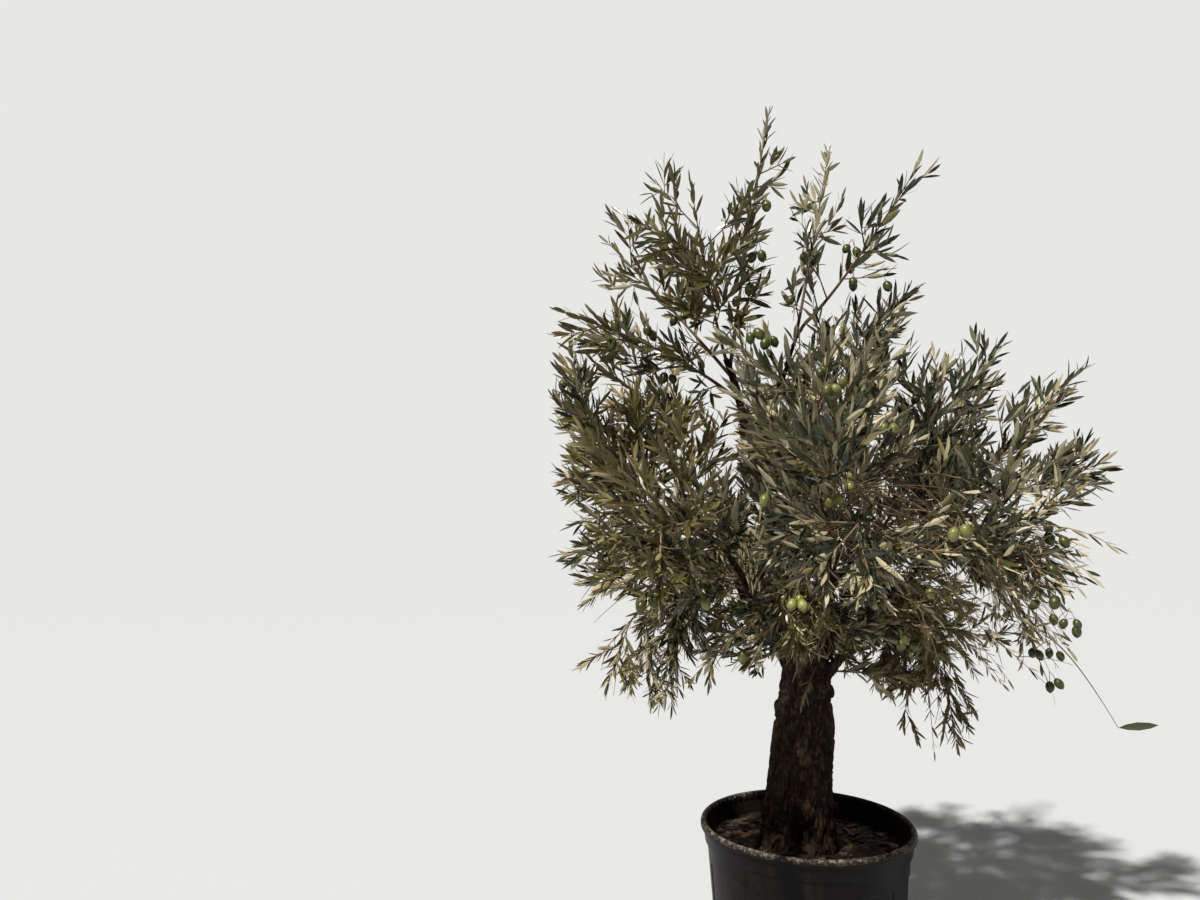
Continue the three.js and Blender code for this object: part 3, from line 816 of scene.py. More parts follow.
def olive_material():
    """Green skin with a bloom and pale dots, painted lighter towards the crown's shaded heart as
    painted light.
    """
    material, nodes, shader, place = patterned("olive_skin")
    bloom = nodes.noise(place, 22.0, 4, 0.6)
    skin = nodes.toned(bloom, (0.35, 46, 53, 20), (0.55, 64, 71, 28), (0.7, 88, 93, 42))
    # Painted light: a lighter skin, laid on towards the crown's heart, where the crown shades the
    # olives.
    inner = nodes.toned(bloom, (0.35, 110, 114, 58), (0.55, 132, 134, 74), (0.7, 156, 154, 96))
    places = {0: place, 1: CROWN_HEART}
    apart = nodes.add("ShaderNodeVectorMath", places, operation="DISTANCE")
    skin = nodes.mix(nodes.fade(apart.outputs["Value"], 0.35, 0.55), inner, skin)
    cells = nodes.add("ShaderNodeTexVoronoi", {"Vector": place, "Scale": 420.0}).outputs["Distance"]
    dots = nodes.fade(cells, 0.0, 0.2, first=1, last=0)
    colour = nodes.laid(tone(140, 144, 92), skin, dots, 0.4)
    finished(nodes, shader, colour, nodes.maths("ADD", 0.28, nodes.maths("MULTIPLY", bloom, 0.2)))
    return material


# Tools for modelling pieces


def nothing_selected():
    if bpy.context.object and bpy.context.object.mode != "OBJECT":
        bpy.ops.object.mode_set(mode="OBJECT")
    bpy.ops.object.select_all(action="DESELECT")


def only_selected(*pieces):
    """Selects these pieces and nothing else, and makes the first one active."""
    nothing_selected()
    for piece in pieces:
        piece.select_set(True)
    bpy.context.view_layer.objects.active = pieces[0]


def place_applied():
    bpy.ops.object.transform_apply(location=True, rotation=True, scale=True)


def applied(piece, kind, **settings):
    only_selected(piece)
    modifier = piece.modifiers.new(kind.title(), kind)
    for key, value in settings.items():
        setattr(modifier, key, value)
    bpy.ops.object.modifier_apply(modifier=modifier.name)


def covered(piece, material, smooth_angle=None):
    """Gives a piece its one material, and smooth shading up to an angle."""
    if smooth_angle:
        only_selected(piece)
        bpy.ops.object.shade_smooth_by_angle(angle=math.radians(smooth_angle))
    piece.data.materials.clear()
    piece.data.materials.append(material)


def set_mesh_points(piece, points):
    piece.data.vertices.foreach_set("co", (np.asarray(points) * MM).astype(np.float32).ravel())
    piece.data.update()


def mesh_points(piece):
    points = np.zeros(len(piece.data.vertices) * 3, np.float32)
    piece.data.vertices.foreach_get("co", points)
    return points.reshape(-1, 3).astype(float)


# Trunk and boughs


def limb_blank(name, line, radius_at, sides, steps):
    """A cylinder cut into rings, which are then moved on to the limb's line."""
    nothing_selected()
    bpy.ops.mesh.primitive_cylinder_add(vertices=sides, radius=1, depth=1, end_fill_type="TRIFAN")
    limb = bpy.context.object
    limb.name = f"{name}_wood"
    bpy.ops.object.mode_set(mode="EDIT")
    bpy.ops.mesh.select_mode(type="EDGE")
    bpy.ops.mesh.select_all(action="DESELECT")
    shell = bmesh.from_edit_mesh(limb.data)
    for edge in shell.edges:
        edge.select = abs(edge.verts[0].co.z - edge.verts[1].co.z) > 0.5
    bmesh.update_edit_mesh(limb.data)
    bpy.ops.mesh.subdivide(number_cuts=steps - 1)
    bpy.ops.object.mode_set(mode="OBJECT")
    reference = least_axis(line.at(1) - line.at(0))
    placed = []
    for x, y, z in mesh_points(limb):
        share = min(1, max(0, z + 0.5))
        angle = math.atan2(y, x)
        across = turned(line.ahead(share), angle, reference)
        sunk = (0, 0, FOOT_SINK if name == "trunk" and share == 0 else 0)
        placed.append(line.at(share) + across * math.hypot(x, y) * radius_at(share, angle) - sunk)
    set_mesh_points(limb, placed)
    return limb


def burls(random):
    """Knobs of old wood: round the trunk, and where each bough comes out and along it."""
    knobs = []
    line, radius_at = LIMBS["trunk"]
    places = [
        (random.uniform(0.06, 0.95), random.uniform(0, TAU), random.uniform(*KNOB_SIZES))
        for _ in range(KNOBS)
    ]
    for share, angle, size in places:
        across = turned(line.ahead(share), angle, np.array([1.0, 0, 0]))
        knobs.append((line.at(share) + across * (radius_at(share, angle) - size * KNOB_SINK), size))
    knobs.append((np.array(CUT_KNOB), CUT_KNOB_SIZE))
    for name, (limb, limb_radius) in LIMBS.items():
        if name != "trunk":
            knobs.append((limb.at(ROOT_KNOB[0]), limb_radius(0, 0) * ROOT_KNOB[1]))
            place = limb.at(random.uniform(*BOUGH_KNOB_SPAN))
            knobs.append((place, limb_radius(0.5, 0) * BOUGH_KNOB))
    pieces = []
    for centre, size in knobs:
        nothing_selected()
        place = Vector(centre) * MM
        bpy.ops.mesh.primitive_ico_sphere_add(subdivisions=3, radius=size * MM, location=place)
        place_applied()
        pieces.append(bpy.context.object)
    return pieces


def bark_height(fine, coarse):
    """How high the bark stands, from 0 in a crack to 1 on a flake, and how the wood swells."""
    coarse = Vector(coarse)
    fine = Vector(fine) + 0.6 * noise.noise_vector(coarse * 1.7)
    cracks = min(1, abs(noise.noise(fine)) * 3.2)
    scales = 0.5 + 0.5 * noise.noise(fine * 2.3 + Vector((7, 1, 3)))
    furrows = min(1, abs(noise.noise(coarse)) * 3.0)
    swell = noise.noise(coarse * 0.55 + Vector((3, 9, 2)))
    return 0.5 * cracks + 0.2 * scales + 0.3 * furrows, swell


def bark_relief(piece):
    """Raises flakes and sinks furrows, deeper on thick wood, and keeps the height of the bark."""
    points = mesh_points(piece) / MM
    normals = np.zeros(len(points) * 3, np.float32)
    piece.data.vertices.foreach_get("normal", normals)
    normals = normals.reshape(-1, 3)
    shares = np.linspace(0, 1, 40)
    walk = np.array([line.at(shares) for line, _ in LIMBS.values()]).reshape(-1, 3)
    aheads = np.array([line.ahead(shares) for line, _ in LIMBS.values()]).reshape(-1, 3)
    radii = np.array([[radius_at(s, 0) for s in shares] for _, radius_at in LIMBS.values()]).ravel()
    relief = np.zeros(len(points))
    moved = points.copy()
    for low in range(0, len(points), BATCH // 2):
        part = points[low : low + BATCH // 2]
        best = (np.linalg.norm(part[:, None] - walk, axis=-1) - radii).argmin(-1)
        axis, thick = aheads[best], radii[best]
        along = (part * axis).sum(-1, keepdims=True)
        across = part - axis * along
        fine = across / FLAKE_GRAIN[0] + axis * along / FLAKE_GRAIN[1]
        coarse = across / FURROW_GRAIN[0] + axis * along / FURROW_GRAIN[1]
        for i in range(len(part)):
            height, swell = bark_height(fine[i], coarse[i])
            relief[low + i] = height
            share = min(1.0, thick[i] / THICK_WOOD)
            lift = share * (BARK_DEPTH * (height - 0.7) + BARK_SWELL * swell)
            lift += (1 - share) * THIN_BARK_DEPTH * (height - 0.5)
            moved[low + i] = part[i] + normals[low + i] * lift
    set_mesh_points(piece, moved)
    attribute = piece.data.attributes.new("relief", "FLOAT", "POINT")
    attribute.data.foreach_set("value", relief.astype(np.float32))


def make_limbs():
    """The wood: all limbs and knobs, grown into one, furrowed, and cut flat at the soil."""
    random = np.random.default_rng(11)
    pieces = []
    for name, (line, radius_at) in LIMBS.items():
        sides, steps = (64, 48) if name == "trunk" else (16, 28)
        pieces.append(limb_blank(name, line, radius_at, sides, steps))
    only_selected(*pieces, *burls(random))
    bpy.ops.object.join()
    wood = bpy.context.object
    wood.name = "trunk_and_boughs"
    applied(wood, "REMESH", mode="VOXEL", voxel_size=WOOD_CELL * MM, use_smooth_shade=True)
    applied(wood, "SMOOTH", factor=0.5, iterations=5)
    bark_relief(wood)
    bpy.ops.object.mode_set(mode="EDIT")
    bpy.ops.mesh.select_all(action="SELECT")
    foot = (0, 0, TRUNK_FOOT[2] * MM)
    bpy.ops.mesh.bisect(plane_co=foot, plane_no=(0, 0, 1), clear_inner=True, use_fill=True)
    bpy.ops.object.mode_set(mode="OBJECT")
    covered(wood, bark_material())
    dressed(wood, "bark", *LIMBS)


# Pot and soil


def wall_radius(z):
    return BASE_RADIUS + (WALL_TOP_RADIUS - BASE_RADIUS) * z / COLLAR_FOOT


def rounded(outline, radius):
    """The outline with each corner eased by three points."""
    eased = [outline[0]]
    for before, corner, after in zip(outline, outline[1:], outline[2:]):
        a, c, b = (np.array(p, float) for p in (before, corner, after))
        first = c + unit(a - c) * min(radius, np.linalg.norm(a - c) * 0.4)
        last = c + unit(b - c) * min(radius, np.linalg.norm(b - c) * 0.4)
        eased += [tuple(first), tuple((first + 2 * c + last) / 4), tuple(last)]
    return eased + [outline[-1]]


def drawn_up(name, outline, sides):
    """A round shell: a ring extruded, lifted and widened along its outline, and closed."""
    nothing_selected()
    radius, z = outline[0]
    place = (0, 0, z * MM)
    bpy.ops.mesh.primitive_circle_add(
        vertices=sides, radius=radius * MM, location=place, fill_type="NOTHING"
    )
    shell = bpy.context.object
    shell.name = name
    place_applied()
    bpy.ops.object.mode_set(mode="EDIT")
    bpy.ops.mesh.select_mode(type="EDGE")
    bpy.ops.mesh.select_all(action="SELECT")
    bpy.ops.mesh.edge_face_add()
    bpy.ops.mesh.select_all(action="DESELECT")
    rim = bmesh.from_edit_mesh(shell.data)
    for edge in rim.edges:
        edge.select = True
    rim.select_flush_mode()
    for face in rim.faces:
        face.select = False
    for edge in rim.edges:
        edge.select = True
    bmesh.update_edit_mesh(shell.data)
    for (r0, z0), (r1, z1) in zip(outline, outline[1:]):
        rise = {"value": (0, 0, (z1 - z0) * MM)}
        bpy.ops.mesh.extrude_edges_move(TRANSFORM_OT_translate=rise)
        bpy.ops.transform.resize(value=(r1 / r0, r1 / r0, 1), center_override=(0, 0, z1 * MM))
    bpy.ops.mesh.edge_face_add()
    bpy.ops.mesh.select_all(action="SELECT")
    bpy.ops.mesh.normals_make_consistent(inside=False)
    bpy.ops.object.mode_set(mode="OBJECT")
    return shell


def select_faces(piece, wanted):
    """Selects the faces of a piece in edit mode whose middle and normal answer to a test."""
    shell = bmesh.from_edit_mesh(piece.data)
    for face in shell.faces:
        face.select_set(False)
    for face in [f for f in shell.faces if wanted(f.calc_center_median() / MM, f.normal)]:
        face.select_set(True)
    bmesh.update_edit_mesh(piece.data)


def pot_outline():
    """The pot's profile, from under its floor, up its wall, over its lip, to its floor inside."""
    inner_collar = COLLAR_RADIUS - WALL_THICKNESS
    corners = [
        (FLOOR_RING, FOOT_HOLLOW),
        (BASE_RADIUS - 26, FOOT_HOLLOW),
        (BASE_RADIUS - 20, 0),
        (BASE_RADIUS, 0),
        (wall_radius(PANEL_FOOT), PANEL_FOOT),
        (wall_radius(PANEL_TOP), PANEL_TOP),
        (WALL_TOP_RADIUS, COLLAR_FOOT),
        (COLLAR_RADIUS - 4, COLLAR_FOOT + 3),
        (COLLAR_RADIUS, COLLAR_TOP),
        (LIP_RADIUS - 0.5, COLLAR_TOP + 3),
        (LIP_RADIUS, COLLAR_TOP + 12),
        (LIP_RADIUS - 2, POT_HEIGHT - 7),
        (LIP_RADIUS - 9, POT_HEIGHT),
        (inner_collar, POT_HEIGHT - 4),
        (inner_collar - 3, COLLAR_TOP),
        (WALL_TOP_RADIUS - WALL_THICKNESS, COLLAR_FOOT),
        (wall_radius(FLOOR_THICKNESS) - WALL_THICKNESS, FLOOR_THICKNESS),
        (FLOOR_RING, FLOOR_THICKNESS),
    ]
    return rounded(corners, POT_EASING)


def in_panel(middle, normal):
    """Whether a face lies on one of the upright panels of the pot's wall."""
    turn = TAU / PANEL_COUNT
    is_outside = math.hypot(middle.x, middle.y) > wall_radius(middle.z) - 2
    angle = math.atan2(middle.x, -middle.y) % turn
    is_between = PANEL_SIDES[0] * turn < angle < PANEL_SIDES[1] * turn
    return is_outside and is_between and PANEL_FOOT + 2 < middle.z < PANEL_TOP - 2


def in_rib(middle, normal):
    """Whether a face lies on one of the fine upright ribs inside the lip."""
    column = int(math.atan2(middle.y, middle.x) % TAU / TAU * POT_FACES)
    is_inside = math.hypot(middle.x, middle.y) < COLLAR_RADIUS - 4
    is_high = COLLAR_TOP + 4 < middle.z < POT_HEIGHT - 8
    return is_inside and is_high and column % 2 == 0 and abs(normal.z) < 0.5


def make_pot():
    pot = drawn_up("pot_shell", pot_outline(), POT_FACES)
    bpy.ops.object.mode_set(mode="EDIT")
    bpy.ops.mesh.select_mode(type="FACE")
    select_faces(pot, in_panel)
    bpy.ops.mesh.inset(thickness=0.004, depth=-PANEL_DEPTH * MM, use_individual=False)
    select_faces(pot, in_rib)
    bpy.ops.mesh.inset(thickness=0.002, depth=0.003, use_individual=True)
    bpy.ops.object.mode_set(mode="OBJECT")
    for i in range(PANEL_COUNT):
        nothing_selected()
        angle = TAU * (i + 0.5) / PANEL_COUNT
        bpy.ops.mesh.primitive_cube_add(size=1, location=(0, 0, 0))
        cutter = bpy.context.object
        cutter.scale = (DRAIN_DEPTH * MM, DRAIN_WIDTH * MM, 2 * DRAIN_HEIGHT * MM)
        cutter.rotation_euler = (0, 0, angle)
        reach = BASE_RADIUS * MM
        cutter.location = (reach * math.cos(angle), reach * math.sin(angle), 0)
        place_applied()
        applied(pot, "BOOLEAN", operation="DIFFERENCE", object=cutter, solver="EXACT")
        bpy.data.objects.remove(cutter)
    covered(pot, pot_material(), 28)
    dressed(pot, "pot", "pot")


def make_soil():
    """The filling of the pot, lumpy on top, heaped a little against the trunk."""
    clear = WALL_THICKNESS + FIT_GAP + PANEL_DEPTH
    low = FLOOR_THICKNESS + FIT_GAP
    edge = WALL_TOP_RADIUS - clear
    outline = [
        (FLOOR_RING, low),
        (wall_radius(low) - clear, low),
        (edge, COLLAR_FOOT),
        (edge, SOIL_LEVEL - 2),
    ]
    outline += [(edge - 6 - step, SOIL_LEVEL - 1) for step in np.arange(0, edge - 40, 6.0)]
    soil = drawn_up("potting_soil", outline, SOIL_FACES)
    points = mesh_points(soil) / MM
    for point in points:
        radius = math.hypot(point[0], point[1])
        if point[2] > SOIL_LEVEL - 1.5 and radius < edge - 5:
            place = Vector(point)
            lumps = sum(depth * noise.noise(place / size) for depth, size in SOIL_LUMPS)
            fall = EDGE_FALL * max(0, (radius - EDGE_FROM) / EDGE_SPAN)
            level = SOIL_LEVEL - SOIL_SETTLED + lumps - fall
            apart = math.hypot(point[0] - TRUNK_FOOT[0], point[1] - TRUNK_FOOT[1])
            near = min(1, max(0, (apart - TRUNK_RADIUS - HEAP_FROM) / HEAP_SPAN))
            point[2] = level * near + SOIL_LEVEL * (1 - near)
    set_mesh_points(soil, points)
    covered(soil, soil_material(), 60)
    return dressed(soil, "soil", "soil")


# Twigs, leaves and fruit


class Crown:
    """What has grown so far, and what leaves have to leave in view."""

    def __init__(self):
        self.twigs = {}
        self.leaves = []
        self.shoots = []
        self.arches = []
        self.set_leaves = None
        self.shown_fruit = None

    def twig(self, line, thick, thin, rings, sides, colour):
        shares = np.linspace(0, 1, rings)
        radii = thick + (thin - thick) * shares
        self.twigs.setdefault((rings, sides), []).append((line.at(shares), radii, colour))

    def leaf_rows(self, base, ahead, upper, length, tint, own):
        count = len(base)
        columns = [base, ahead, upper, length, np.full(count, tint), np.full(count, own)]
        self.leaves.append(np.column_stack(columns))


def around(ahead, angle):
    """Directions square to each row of ahead, turned round it by each angle."""
    reference = np.where(np.abs(ahead[:, 2:3]) < 0.8, [[0, 0, 1.0]], [[1.0, 0, 0]])
    side = unit(np.cross(ahead, reference))
    other = np.cross(ahead, side)
    return side * np.cos(angle)[:, None] + other * np.sin(angle)[:, None]


def leaf_pairs(crown, line, length, bare, gap, size, tint, own, random):
    """Leaves in pairs along a shoot, each pair square to the last, and one at the tip."""
    fine = float(np.interp(line.tip[2], FINE_LEVELS, (FINE_SIZE, 1)))
    size, gap = size * fine, gap * fine**1.5
    count = max(1, round(length * (1 - bare) / gap))
    share = bare + (1 - bare) * (np.arange(count) + 0.5) / count
    base, ahead = line.at(share), line.ahead(share)
    angle = random.uniform(0, TAU) + np.arange(count) * math.pi / 2
    angle += random.normal(0, PAIR_TURN, count)
    for way in (0, math.pi):
        out = around(ahead, angle + way + random.normal(0, PAIR_SCATTER, count))
        lean = random.normal(*LEAF_LEAN, count) * (1.12 - 0.4 * share)
        direction = ahead * np.cos(lean)[:, None] + out * np.sin(lean)[:, None]
        upper = ahead * np.sin(lean)[:, None] - out * np.cos(lean)[:, None]
        roll = random.normal(0, LEAF_ROLL, count)[:, None]
        upper = upper * np.cos(roll) + np.cross(direction, upper) * np.sin(roll)
        long = size * random.uniform(*LEAF_LENGTHS, count) * (1 - TIP_SHORTER * share**4)
        kept = random.random(count) > LEAF_LOST
        crown.leaf_rows(base[kept], direction[kept], upper[kept], long[kept], tint, own)
    tip = line.at(1.0)[None]
    direction = unit(line.ahead(1.0)[None] + random.normal(0, TIP_SCATTER, (1, 3)))
    upper = around(direction, np.array([random.uniform(0, TAU)]))
    crown.leaf_rows(tip, direction, upper, np.array([size * TIP_LEAF]), tint, own)


def bent(root, heading, length, sag, random):
    """A twig's line: off along its heading, bent up or down by its sag and a little to one side."""
    drift = random.normal(0, TWIG_DRIFT, 3) * length
    down = np.array([0, 0, sag]) * length
    middle = root + heading * length * 0.5 - down * TWIG_FALL[0] + drift * 0.5
    return Line(root, middle, root + heading * length - down * TWIG_FALL[1] + drift)


def side_shoots(crown, spray, length, rate, sag, tint, own, random, edge):
    """Short leafy shoots in pairs along a spray, longest near its foot, some of them bare."""
    count = max(1, round(length * SIDE_SPAN / SIDE_GAP))
    first_turn = random.uniform(0, TAU)
    part_long, least_long = SIDE_LENGTH
    for j in range(count):
        share = SIDE_FIRST + SIDE_SPAN * (j + random.uniform(*SIDE_STEP)) / count
        ahead = spray.ahead(share)
        for way in (0, math.pi):
            if random.random() > rate:
                continue
            twist = random.normal(0, SIDE_TWIST)
            out = turned(ahead, first_turn + j * math.pi / 2 + way + twist)
            lean = random.normal(*SIDE_LEAN)
            heading = unit(ahead * math.cos(lean) + out * math.sin(lean))
            for part in SIDE_TRIES:
                run = part * (part_long * length * (1.05 - share) + least_long)
                run *= random.uniform(*SIDE_SPREAD)
                line = bent(spray.at(share), heading, run, sag, random)
                is_clear = is_free(line.at([0.5, 1.0]), own, edge).all()
                if is_clear and in_box(line.at(1.0)[None], 12).all():
                    is_low = line.tip[2] < BARE_LEVEL
                    if random.random() < (BARE_BELOW if is_low else BARE_ABOVE):
                        crown.twig(line, *BARE_TWIG, int(random.integers(0, WOODY_TWIGS)))
                    else:
                        crown.twig(line, *LEAFY_TWIG, YOUNG_TWIG * int(random.integers(0, 2)))
                        leaf_pairs(crown, line, run, *SIDE_LEAVES, tint, own, random)
                    crown.shoots.append((line, own))
                    break


def grow_spray(crown, line, length, rate, sag, tint, own, random, edge=SPACE_EDGE):
    """One spray: its twig, its own leaves and its side shoots."""
    crown.twig(line, *SPRAY_TWIG, int(random.integers(0, WOODY_TWIGS)))
    leaf_pairs(crown, line, length, *SPRAY_LEAVES, tint, own, random)
    side_shoots(crown, line, length, rate, sag, tint, own, random, edge)
    crown.shoots.append((line, own))


def tint_at(place, random):
    """Which leaf face a spray takes: grey and blue greens high and right, warm ones elsewhere."""
    x, _, z = place
    # Low on the right, lighter dusty faces: dust, and painted light on this shaded part of the
    # crown.
    if x > DUSTY_AND_LIT_CORNER[0] and z < DUSTY_AND_LIT_CORNER[1]:
        return int(random.choice(DUSTY_AND_LIT_TINTS))
    if x < WARM_CORNER[0] and z > WARM_CORNER[1]:
        return int(random.choice(LOW_TINTS))
    rows = ((z, COOL_HEIGHT), (x, COOL_SIDE))
    cool = sum(min(most, (value - start) / span) for value, (most, start, span) in rows)
    is_cool = random.random() < np.clip(cool, *COOL_LIMITS)
    return int(random.choice(HIGH_TINTS if is_cool else LOW_TINTS))


def has_room(root, heading, length, own, edge=SPACE_EDGE):
    straight = root + heading * length * np.array([[0.5], [0.75], [1.0]])
    return is_free(straight, own, edge).all() and in_box(straight[2:], 40).all()


def grow_mass(crown, own):
    """One mass: its stem, its solid's sprays, and finer ones between them by the same rule."""
    name, _, _, _, reach, _, sprays, more, rate = MASSES[own]
    stem = STEMS[own]
    draw = seeded(1000 + 77 * own)
    random = np.random.default_rng(500 + own)
    upturn = np.array([0, 0, UPTURNS.get(name, 0)])
    span = stem.length()
    stem_end = 1 - min(reach + STEM_END, 0.5 * span) / span
    crown.twig(stem, *STEM_TWIG, BROWN_TWIG)
    sag = SAG_RISING if stem.tip[2] < TOP_LEVEL else SAG_TOP
    if stem.tip[2] < stem.start[2]:
        sag = SAG_HANGING
    main = tint_at(stem.tip, random)
    for i in range(sprays + more):
        is_fine = i >= sprays
        if is_fine:
            low, high = FINE_SPRAY_SPAN
            step = (i - sprays + random.uniform(*FINE_STEP)) / more
            share = low + (high - low) * step
            first_turn = i * GOLDEN_TURN + random.random()
            vigour = random.uniform(*FINE_VIGOUR) * (1.0 - FINE_FADE * max(0, share - 0.5))
        else:
            share = SPRAY_FIRST + ((stem_end - 0.1) * (i + 0.5 * draw())) / sprays
            first_turn = i * GOLDEN_TURN + draw()
            draw()
            vigour = 1
        root, ahead = stem.at(share), stem.ahead(share)
        for part, turn in SPRAY_TRIES:
            out = turned(ahead, first_turn + turn)
            heading = unit(out + SPRAY_AHEAD * ahead + is_fine * upturn)
            length = part * vigour * reach + SPRAY_BASE
            if has_room(root, heading, length, own):
                tint = main if random.random() < 0.5 else tint_at(root, random)
                own_sag = sag * (1 if is_fine else SOLID_SPRAY_SAG)
                line = bent(root, heading, length, own_sag, random)
                grow_spray(crown, line, length, rate, sag, tint, own, random)
                break
    leaves = OPEN_STEM_LEAVES if rate < OPEN_RATE else STEM_LEAVES
    leaf_pairs(crown, stem, span, *leaves, main, own, random)


def nearest_mass(point):
    return int((np.linalg.norm(point - STEM_WALK, axis=-1).min(-1) / REACHES).argmin())


def grow_sprouts(crown):
    """Sprays that leave the boughs themselves, each in the space of the mass that it grows into."""
    for number, (name, (limb, _)) in enumerate(LIMBS.items()):
        random = np.random.default_rng(700 + number)
        reach_up = SPROUT_REACHES.get(name, SPROUT_LAST)
        for i in range(round(SPROUTS * reach_up)):
            share = random.uniform(SPROUT_FIRST, reach_up)
            root, ahead = limb.at(share), limb.ahead(share)
            length = random.uniform(*SPROUT_LENGTHS)
            for turn in SPROUT_TURNS:
                heading = unit(turned(ahead, i * GOLDEN_TURN + turn) + SPROUT_AHEAD * ahead)
                own = nearest_mass(root + heading * length * 0.8)
                if has_room(root, heading, length, own, WIDE_EDGE):
                    tint = tint_at(root, random)
                    line = bent(root, heading, length, SPROUT_SAG, random)
                    grow_spray(crown, line, length, SPROUT_RATE, 0, tint, own, random, WIDE_EDGE)
                    break


def grow_whips(crown):
    """Long thin shoots on the right that arch out and hang, nearly bare up to their ends."""
    for name in sorted(WHIPPED, key=MASS_NAMES.index):
        own = MASS_NAMES.index(name)
        random = np.random.default_rng(900 + own)
        stem, reach = STEMS[own], MASSES[own][4]
        for i in range(WHIPS):
            share = random.uniform(*WHIP_SPAN)
            root, ahead = stem.at(share), stem.ahead(share)
            heading = unit(turned(ahead, i * GOLDEN_TURN) * WHIP_SIDEWAYS + ahead)
            length = random.uniform(*WHIP_LENGTHS) * reach + WHIP_BASE
            tip = root + heading * length * 0.85 - (0, 0, length * WHIP_FALL)
            line = Line(root, root + heading * length * 0.55, tip)
            if is_free(line.at([0.5, 0.75, 1.0]), own).all() and in_box(line.at([1.0]), 30).all():
                crown.twig(line, *WHIP_TWIG, int(random.integers(0, WOODY_TWIGS)))
                run = length * 0.45
                leaf_pairs(crown, line, run, *WHIP_LEAVES, GREY_GREEN, own, random)
                crown.shoots.append((line, own))


def grow_arches(crown, random):
    """Thin shoots on the front right that arch over and hang, with short bare side ones."""
    own = MASS_NAMES.index("foliage_front_right")
    arches = [Line(*places) for places in ARCH_STEMS]
    for _ in range(ARCHING):
        root = random.uniform(*ARCH_ROOTS)
        tip = random.uniform(*ARCH_TIPS)
        rise = np.array([0, -30, random.uniform(*ARCH_RISE)])
        middle = (root + tip) / 2 + rise + random.normal(0, ARCH_SPREAD, 3) * (1, 0.5, 1)
        arches.append(Line(root, middle, tip))
    for number, line in enumerate(arches):
        is_set = number < len(ARCH_STEMS)
        radius = ARCH_RADIUS if is_set else random.uniform(*THIN_ARCH_RADII)
        crown.twig(line, radius, 0.7, 14, 4, int(random.integers(0, 2)))
        tint = int(random.choice(HIGH_TINTS))
        leaf_pairs(crown, line, line.length() * 0.7, *ARCH_LEAVES, tint, own, random)
        for share in random.uniform(*ARCH_SIDE_SPAN, ARCH_SIDES):
            root = line.at(share)
            tip = root + random.normal(0, 1, 3) * ARCH_SIDE_REACH - (0, 0, 30)
            side = Line(root, (root + tip) / 2 + (0, 0, 15), tip)
            crown.twig(side, *ARCH_SIDE_TWIG, BROWN_TWIG)
        crown.shoots.append((line, own))
        crown.arches.append(line.at(np.linspace(0.1, 0.8, 22)))


def grow_set_shoots(crown, random):
    """One long bare shoot low on the right with a single leaf, and a leafy one on the trunk."""
    lone = Line(*LONE_SHOOT)
    crown.twig(lone, *LONE_TWIG, BROWN_TWIG)
    ahead = unit(np.array([LONE_LEAF_AHEAD]))
    upper = unit(np.array([LONE_LEAF_UP]))
    own = MASS_NAMES.index("foliage_right_droop")
    last = [[LEAF_LENGTH * 1.1, GREY_GREEN, own]]
    lone_leaf = np.concatenate([lone.at([1.0]), ahead, upper, last], 1)
    shoot = Line(*TRUNK_SHOOT)
    crown.twig(shoot, *TRUNK_TWIG, YOUNG_TWIG)
    apart = Crown()
    own = MASS_NAMES.index("foliage_front_low")
    leaf_pairs(apart, shoot, shoot.length(), *TRUNK_LEAVES, DUSTY, own, random)
    crown.set_leaves = np.concatenate([lone_leaf, *apart.leaves])


def tube_faces(rings, sides):
    """The triangles of a tube whose last two corners close its foot and its tip."""
    faces = []
    for r in range(rings - 1):
        for s in range(sides):
            a, b = r * sides + s, r * sides + (s + 1) % sides
            faces += [(a, b, b + sides), (a, b + sides, a + sides)]
    last = (rings - 1) * sides
    for s in range(sides):
        faces.append((rings * sides, (s + 1) % sides, s))
        faces.append((last + s, last + (s + 1) % sides, rings * sides + 1))
    return np.array(faces)


def make_twigs(crown):
    """All twigs as one piece: tapering tubes of a few sides, closed at foot and tip."""
    points, triangles, slots = [], [], []
    total = 0
    for (rings, sides), rows in crown.twigs.items():
        lines, radii, colours = (np.array(column) for column in zip(*rows))
        ahead = unit(np.gradient(lines, axis=1))
        chord = unit(lines[:, -1] - lines[:, 0])
        reference = np.eye(3)[np.abs(chord).argmin(1)][:, None]
        side = unit(np.cross(ahead, reference))
        other = np.cross(ahead, side)
        angles = np.arange(sides) * TAU / sides
        ring = side[:, :, None] * np.cos(angles)[:, None]
        ring = ring + other[:, :, None] * np.sin(angles)[:, None]
        shell = lines[:, :, None] + ring * radii[:, :, None, None]
        count = len(rows)
        ends = np.stack([lines[:, 0], lines[:, -1] + ahead[:, -1] * radii[:, -1:] * 2], 1)
        block = np.concatenate([shell.reshape(count, -1, 3), ends], 1)
        faces = tube_faces(rings, sides)
        each = rings * sides + 2
        points.append(block.reshape(-1, 3))
        triangles.append((total + np.arange(count)[:, None, None] * each + faces).reshape(-1, 3))
        slots.append(np.repeat(colours, len(faces)))
        total += count * each
    blocks = (np.concatenate(rows) for rows in (points, triangles, slots))
    dressed(joined_mesh("twigs", *blocks, TWIG_TONES), "foliage")


